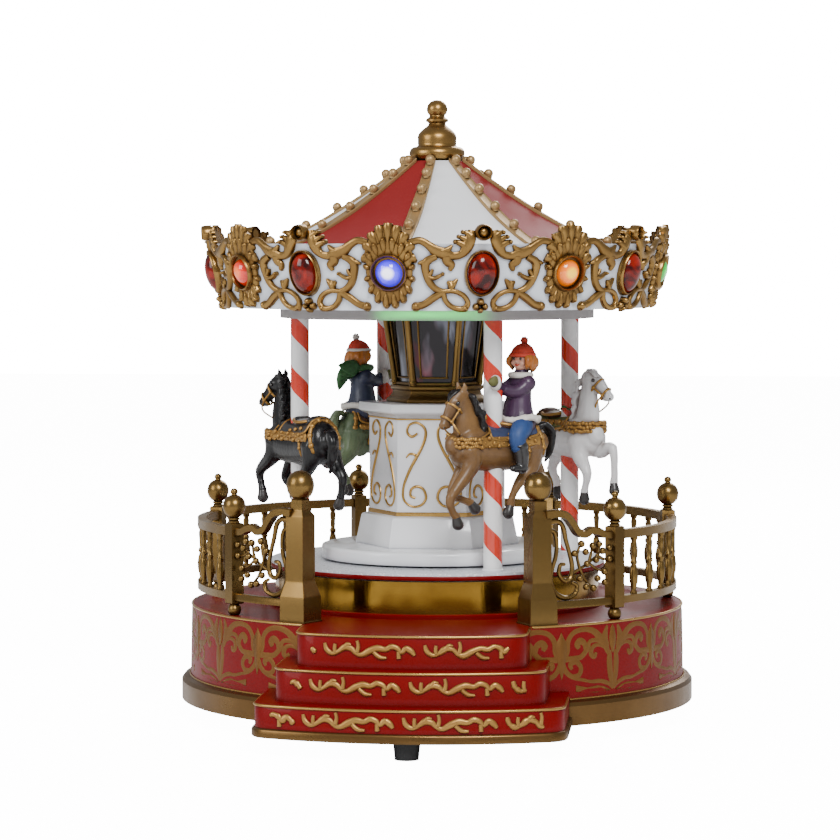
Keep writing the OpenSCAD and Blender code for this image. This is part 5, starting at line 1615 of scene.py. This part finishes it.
for name, i, blanket_mat, seat_mat, node in (("brown", 0, navy_cloth, pommel_pink, "saddles"),
                                             ("white", 1, mitten_olive, basket_brown, None),
                                             ("green", 2, basket_brown, pommel_pink, None),
                                             ("black", 3, boot_black, boot_black, None)):
    spot = on_pole(i)
    blanket = Shape()
    draped(blanket, -19, 5.5, 62, 0.35, 0.8, ragged=0.5)
    piece(name + "_blanket", blanket.move(spot), blanket_mat, "carousel", "horse_black",
          *((node,) if node else ()), angle=50)
    seat, rim_ring = saddle_parts()
    edge = [on_barrel(f, a, 1.0) for f, a in
            [(5.5, -62), (5.5, -31), (5.5, 0), (5.5, 31), (5.5, 62), (-1, 66), (-7, 67), (-13, 66), (-19, 62),
             (-19, 31), (-19, 0), (-19, -31), (-19, -62), (-13, -66), (-7, -67), (-1, -66), (5.5, -62)]]
    rim_ring.tube(spline(edge, 4), 0.6, sides=8, round_ends=False)
    for s in (-1, 1):
        for f in (-4.0, -9.0, -14.0):
            rim_ring.ball(on_barrel(f, s * 52, 1.4), 1.0, segs=10)
    rim_ring.ball(P(4.6, 0, 24.4), 1.6, segs=14)
    seat.tube([P(5.0, 0, 20), P(4.8, 0, 23.6)], [1.8, 1.1], sides=10)
    clay(name + "_saddle", seat, seat_mat, "carousel", "girl_clothes", voxel=0.5, smooth=2, matrix=spot)
    piece(name + "_saddle_rim", rim_ring.move(spot), tack_gold, "carousel", "gold_foil", angle=60)

holly = Shape()
for k in range(9):
    a = k * 40
    root = P(1.5 * cosd(a) + 0.5, 1.5 * sind(a), 22.5)
    out = P(6.0 * cosd(a) + 0.5, 6.0 * sind(a), 24.2 + 1.2 * math.sin(k * 2.0))
    holly.tube([root, root.lerp(out, 0.35) + Vector((0, 0, 0.8)), root.lerp(out, 0.7) + Vector((0, 0, 0.6)),
                out],
               [0.8, 1.9, 1.5, 0.3], sides=8, flat=0.3, across=(0, 0, 1))
piece("holly_sprig", holly.move(on_pole(1)), scarf_green, "carousel", "boy_clothes", angle=60)


def rider_face(i, centre, facing, radius, skin_slot, name):
    """A round doll's head looking `facing` degrees outwards, with eyes, brows and mouth."""
    spot = on_pole(i)
    skin, dark, lips = Shape(), Shape(), Shape()
    look = turn_z(facing)

    def at(x, y, z):
        """x to the face's left, y ahead, z up, in head radii."""
        return centre + look @ Vector((-y, -x, z)) * radius

    skin.ball(centre, (radius * 0.95, radius * 0.92, radius * 1.04), segs=28)
    skin.ball(at(0, 0.35, -0.45), (radius * 0.62, radius * 0.6, radius * 0.55), segs=18)
    skin.ball(at(0, 1.0, -0.1), radius * 0.16, segs=12)
    for s in (-1, 1):
        skin.ball(at(s * 0.42, 0.72, -0.25), radius * 0.3, segs=14)
        dark.ball(at(s * 0.34, 0.885, 0.1), (radius * 0.1, radius * 0.11, radius * 0.14), segs=12)
        dark.tube([at(s * 0.2, 0.93, 0.33), at(s * 0.36, 0.88, 0.38), at(s * 0.52, 0.79, 0.32)],
                  radius * 0.035, sides=6)
    lips.tube([at(-0.2, 0.93, -0.4), at(0, 0.965, -0.46), at(0.2, 0.93, -0.4)],
              [radius * 0.05, radius * 0.08, radius * 0.05], sides=8)
    clay(name + "_face", skin, skin_pink, "carousel", skin_slot, voxel=0.32, smooth=3, matrix=spot)
    for shape, material, label in ((dark, eye_black, "_eyes"), (lips, hat_red, "_mouth")):
        piece(name + label, shape.move(spot), material, "carousel", skin_slot, angle=60)


def knit(shape, rings, segs=40, ribs=20, depth=0.18):
    """A knitted cap as stacked rings of (centre, radius), with fine upright ribs."""
    verts = []
    for row, (c, r) in enumerate(rings):
        for k in range(segs):
            a = 2 * math.pi * k / segs
            swell = r + depth * math.cos(a * ribs) * (1 if r > 1 else 0) + 0.1 * math.sin(row * 2.2)
            verts.append(c + Vector((swell * math.cos(a), swell * math.sin(a), 0)))
    return shape.add(verts, bands(len(rings), segs) + caps(len(rings), segs))


HEAD_R = 5.0


def make_rider(name, i, coat_mat, trouser_mat, trim, facing, head_h, lean):
    """A doll in a coat with fur, looking `facing` degrees outwards. trim is the cap's roll and bobble."""
    node, slot = name + "_rider", name + "_clothes"
    spot = on_pole(i)
    torso, fur, legs, boots, mitts, hair, cap, bobble = (Shape() for _ in range(8))
    hip = P(-13.5, 0, 22.5)
    neck_at = P(-15 - lean, 0, head_h - 6.2)
    centre = P(-16 - lean, 0, head_h)
    torso.tube(spline([hip, hip.lerp(neck_at, 0.35) + Vector((-0.4, 0, 0)), hip.lerp(neck_at, 0.7), neck_at],
                      5),
               [9.6, 7.6, 6.4, 6.0, 3.6], sides=20, flat=0.82, across=(1, 0, 0))
    skirt = []
    for k in range(0, 361, 12):
        skirt.append(hip + Vector((8.6 * cosd(k), 10.2 * sind(k), 1.2 + 0.7 * math.sin(math.radians(k * 3)))))
    fur.tube(skirt, 1.5, sides=10, round_ends=False)
    for k in range(40):
        p = skirt[int(k / 40 * (len(skirt) - 1))]
        fur.ball(p + Vector((0.5 * math.sin(k * 2.4), 0.5 * math.cos(k * 1.7), 0.7 * math.sin(k * 3.1))),
                 1.25, segs=8)
    collar = [neck_at + Vector((4.4 * cosd(k), 4.9 * sind(k), -0.6)) for k in range(0, 361, 20)]
    fur.tube(collar, 1.45, sides=10, round_ends=False)
    for s in (-1, 1):
        shoulder = neck_at + Vector((0.4, s * 5.2, -4.2))
        hand = P(3.2, 6.2, 40.6) if s > 0 else P(-2.6, -5.0, 38.6)
        elbow = shoulder.lerp(hand, 0.5) + Vector((0.6, s * 3.2, -3.4))
        arm = spline([shoulder, elbow, hand], 6)
        torso.tube(arm, [3.5, 3.1, 2.7, 2.5], sides=14)
        torso.ball(shoulder, 3.7, segs=14)
        fur.ball(arm[-2], (2.2, 3.7, 3.7), segs=16)
        mitts.ball(hand + Vector((-1.4, -s * 1.0, 0.2)), (2.6, 2.0, 2.1), segs=14)
        mitts.ball(hand + Vector((-1.0, -s * 1.6, 1.9)), (1.6, 0.9, 1.0), segs=10)
        thigh = [P(-13, s * 4.5, 21.5), P(-9.6, s * 8.6, 19.4), P(-6.4, s * 10.4, 16.0),
                 P(-6.4, s * 10.9, 11.4)]
        legs.tube(spline(thigh, 6), [5.0, 4.8, 4.2, 3.4], sides=16)
        boots.tube([P(-7.2, s * 11.0, 11.6), P(-8.2, s * 11.0, 7.2), P(-8.4, s * 11.0, 3.6),
                    P(-8.0, s * 11.1, 1.9)],
                   [3.7, 3.4, 2.9, 2.8], sides=14)
        boots.tube([P(-8.6, s * 11.1, 1.8), P(-5.6, s * 11.4, 1.6), P(-3.2, s * 11.7, 1.8)], [2.7, 2.4, 1.9],
                   sides=14, flat=0.8, across=(0, 0, 1))
        boots.ball(P(-7.1, s * 11.0, 11.8), (4.1, 4.1, 1.1), segs=16)
    rider_face(i, centre, facing, HEAD_R, slot, name)
    back = turn_z(facing) @ Vector((1, 0, 0))
    for k in range(17):
        a = -125 + 250 * k / 16
        d = turn_z(facing + 180 + a) @ Vector((-1, 0, 0))
        root = centre + d * 4.4 + Vector((0, 0, 2.4))
        drop = -4.2 - 1.2 * math.cos(math.radians(a))
        end = centre + d * (5.0 + 0.5 * math.sin(k * 2.0)) + Vector((0, 0, drop))
        strand(hair, root, end, d * 1.3, 1.35, 0.6, 1.0, k * 1.3)
    hair.ball(centre + back * 3.4 + Vector((0, 0, -2.2)), (3.0, 3.4, 3.4), segs=14)
    top = centre + Vector((0, 0, 2.3))
    knit(cap, [(top + Vector((0, 0, rise)) + back * lag, r) for rise, lag, r in (
        (0, 0.2, 5.35), (0.7, 0.3, 5.45), (1.8, 0.3, 5.15), (3.2, 0.5, 4.3), (4.4, 0.8, 3.0), (5.2, 1.2, 1.6),
        (5.5, 1.3, 0.7))])
    brim_r = HEAD_R * 1.05
    brim = [top + back * 0.2 + Vector((brim_r * cosd(k), brim_r * sind(k), 0.1)) for k in range(0, 361, 15)]
    cap_tip = top + Vector((0, 0, 6.5)) + back * 1.6
    bobble.ball(cap_tip, 1.5, segs=12)
    tufts = 22
    for k in range(tufts):
        z = 1 - 2 * (k + 0.5) / tufts
        a = k * 2.4
        w = math.sqrt(1 - z * z)
        bobble.ball(cap_tip + Vector((w * math.cos(a), w * math.sin(a), z)) * 1.35, 0.62, segs=8)
    clay(name + "_coat", torso, coat_mat, "carousel", slot, node, voxel=0.45, smooth=3, matrix=spot)
    for part, shape, material, voxel, smooth in (
            ("_fur", fur, fur_white, 0.4, 1), ("_trousers", legs, trouser_mat, 0.45, 2),
            ("_boots", boots, boot_black, 0.4, 2), ("_mittens", mitts, mitten_olive, 0.35, 2),
            ("_hair", hair, hair_blond, 0.35, 1)):
        clay(name + part, shape, material, "carousel", slot, voxel=voxel, smooth=smooth, matrix=spot)
    roll = Shape().tube(brim, 1.0, sides=10, round_ends=False)
    for part, shape, material in (("_cap", cap, hat_red), ("_cap_roll", roll, trim),
                                  ("_bobble", bobble, trim)):
        piece(name + part, shape.move(spot), material, "carousel", slot, angle=60)


make_rider("girl", 0, purple_coat, trousers_blue, hat_red, 24, 50.0, 0)
make_rider("boy", 2, boy_coat, boy_trousers, fur_white, -20, 48.5, -1.0)

scarf = Shape()
neck_at = P(-14, 0, 42.0)
scarf.tube([neck_at + Vector((4.6 * cosd(k), 5.0 * sind(k), 0.4)) for k in range(0, 361, 20)], 1.9, sides=10,
           round_ends=False)
for k, (rise, out) in enumerate(((3.0, -5.0), (-1.0, -2.5), (-5.0, 0.5), (-9.5, 3.0))):
    tail_end = neck_at + Vector((16.5 - k * 2.0, -out * 1.2, rise - 1))
    scarf.tube(spline([neck_at + Vector((3, -out * 0.4, 0)), neck_at + Vector((8, -out * 0.9, rise * 0.3)),
                       tail_end], 5),
               [2.4, 4.2, 3.2, 0.4], sides=12, flat=0.5, across=(0, 1, 0))
clay("boy_scarf", scarf, scarf_green, "carousel", "boy_clothes", voxel=0.4, smooth=1, matrix=on_pole(2))

# ---------------------------------------------------------------- floor, light and camera
floor_z = low("rubber_feet").z
floor = bpy.data.meshes.new("floor")
FLOOR_REACH = 4000
CORNERS = ((-1, -1), (1, -1), (1, 1), (-1, 1))
floor.from_pydata([(x * FLOOR_REACH * MM, y * FLOOR_REACH * MM, floor_z * MM) for x, y in CORNERS],
                  [], [[0, 1, 2, 3]])
ground = bpy.data.objects.new("floor", floor)
bpy.context.scene.collection.objects.link(ground)
paper = bpy.data.materials.new("pale_floor")
paper.use_nodes = True
shader_of(paper).inputs["Base Color"].default_value = (0.9, 0.9, 0.9, 1)
shader_of(paper).inputs["Roughness"].default_value = 0.9
FLOOR_GLOW = 14.0
lit_up = add_node(paper.node_tree, "LightPath").outputs["Is Camera Ray"]
paper.node_tree.links.new(ranged(paper.node_tree, lit_up, 0.0, 1.0, 0.0, FLOOR_GLOW),
                          shader_of(paper).inputs["Emission Strength"])
shader_of(paper).inputs["Emission Color"].default_value = (1, 1, 1, 1)
floor.materials.append(paper)

world = bpy.data.worlds.new("studio")
world.use_nodes = True
sky = world.node_tree
seen = add_node(sky, "LightPath").outputs["Is Camera Ray"]
ROOM_LIGHT, BACKDROP = 0.42, 20.0
sky.links.new(ranged(sky, seen, 0.0, 1.0, ROOM_LIGHT, BACKDROP), sky.nodes["Background"].inputs["Strength"])
sky.nodes["Background"].inputs["Color"].default_value = (1, 1, 1, 1)
bpy.context.scene.world = world


def area_light(name, at, target, size, watts, colour=(1, 1, 1)):
    data = bpy.data.lights.new(name, "AREA")
    data.size = size
    data.energy = watts
    data.color = colour
    thing = bpy.data.objects.new(name, data)
    thing.location = at
    thing.rotation_euler = (Vector(target) - Vector(at)).to_track_quat("-Z", "Y").to_euler()
    bpy.context.scene.collection.objects.link(thing)
    return thing


for name, at, aimed_z, size, watts in (("key_light", (0.35, -1.3, 1.15), 0.12, 0.6, 27),
                                       ("fill_light", (-1.25, -0.85, 0.7), 0.12, 0.8, 12),
                                       ("back_light", (0.3, 1.3, 1.0), 0.15, 0.8, 15)):
    area_light(name, at, (0, 0, aimed_z), size, watts)
glow_y = low("pole_ring").y - 4.5
glow = area_light("green_glow", (0.004, glow_y * MM, 0.1803), (0.004, 0, 0.1803), 0.05, 0.0016,
                  (0.0, 1.0, 0.1))
glow.data.shape = "RECTANGLE"
glow.data.size_y = 0.002
glow.data.spread = math.radians(70)

CAMERA_HEIGHT, CAMERA_REACH, CAMERA_RISE, CAMERA_TURN = 129.3, 1529.0, 3.06, 5.3
lens_data = bpy.data.cameras.new("camera")
lens_data.lens = 139.4
lens_data.sensor_width = 36.0
camera = bpy.data.objects.new("camera", lens_data)
CAMERA_LEFT = -8.0
aim = Vector((CAMERA_LEFT * cosd(CAMERA_TURN), CAMERA_LEFT * sind(CAMERA_TURN), CAMERA_HEIGHT)) * MM
away = Vector((sind(CAMERA_TURN) * cosd(CAMERA_RISE), -cosd(CAMERA_TURN) * cosd(CAMERA_RISE),
               sind(CAMERA_RISE)))
camera.location = aim + away * CAMERA_REACH * MM
camera.rotation_euler = (-away).to_track_quat("-Z", "Y").to_euler()
bpy.context.scene.collection.objects.link(camera)
bpy.context.scene.camera = camera
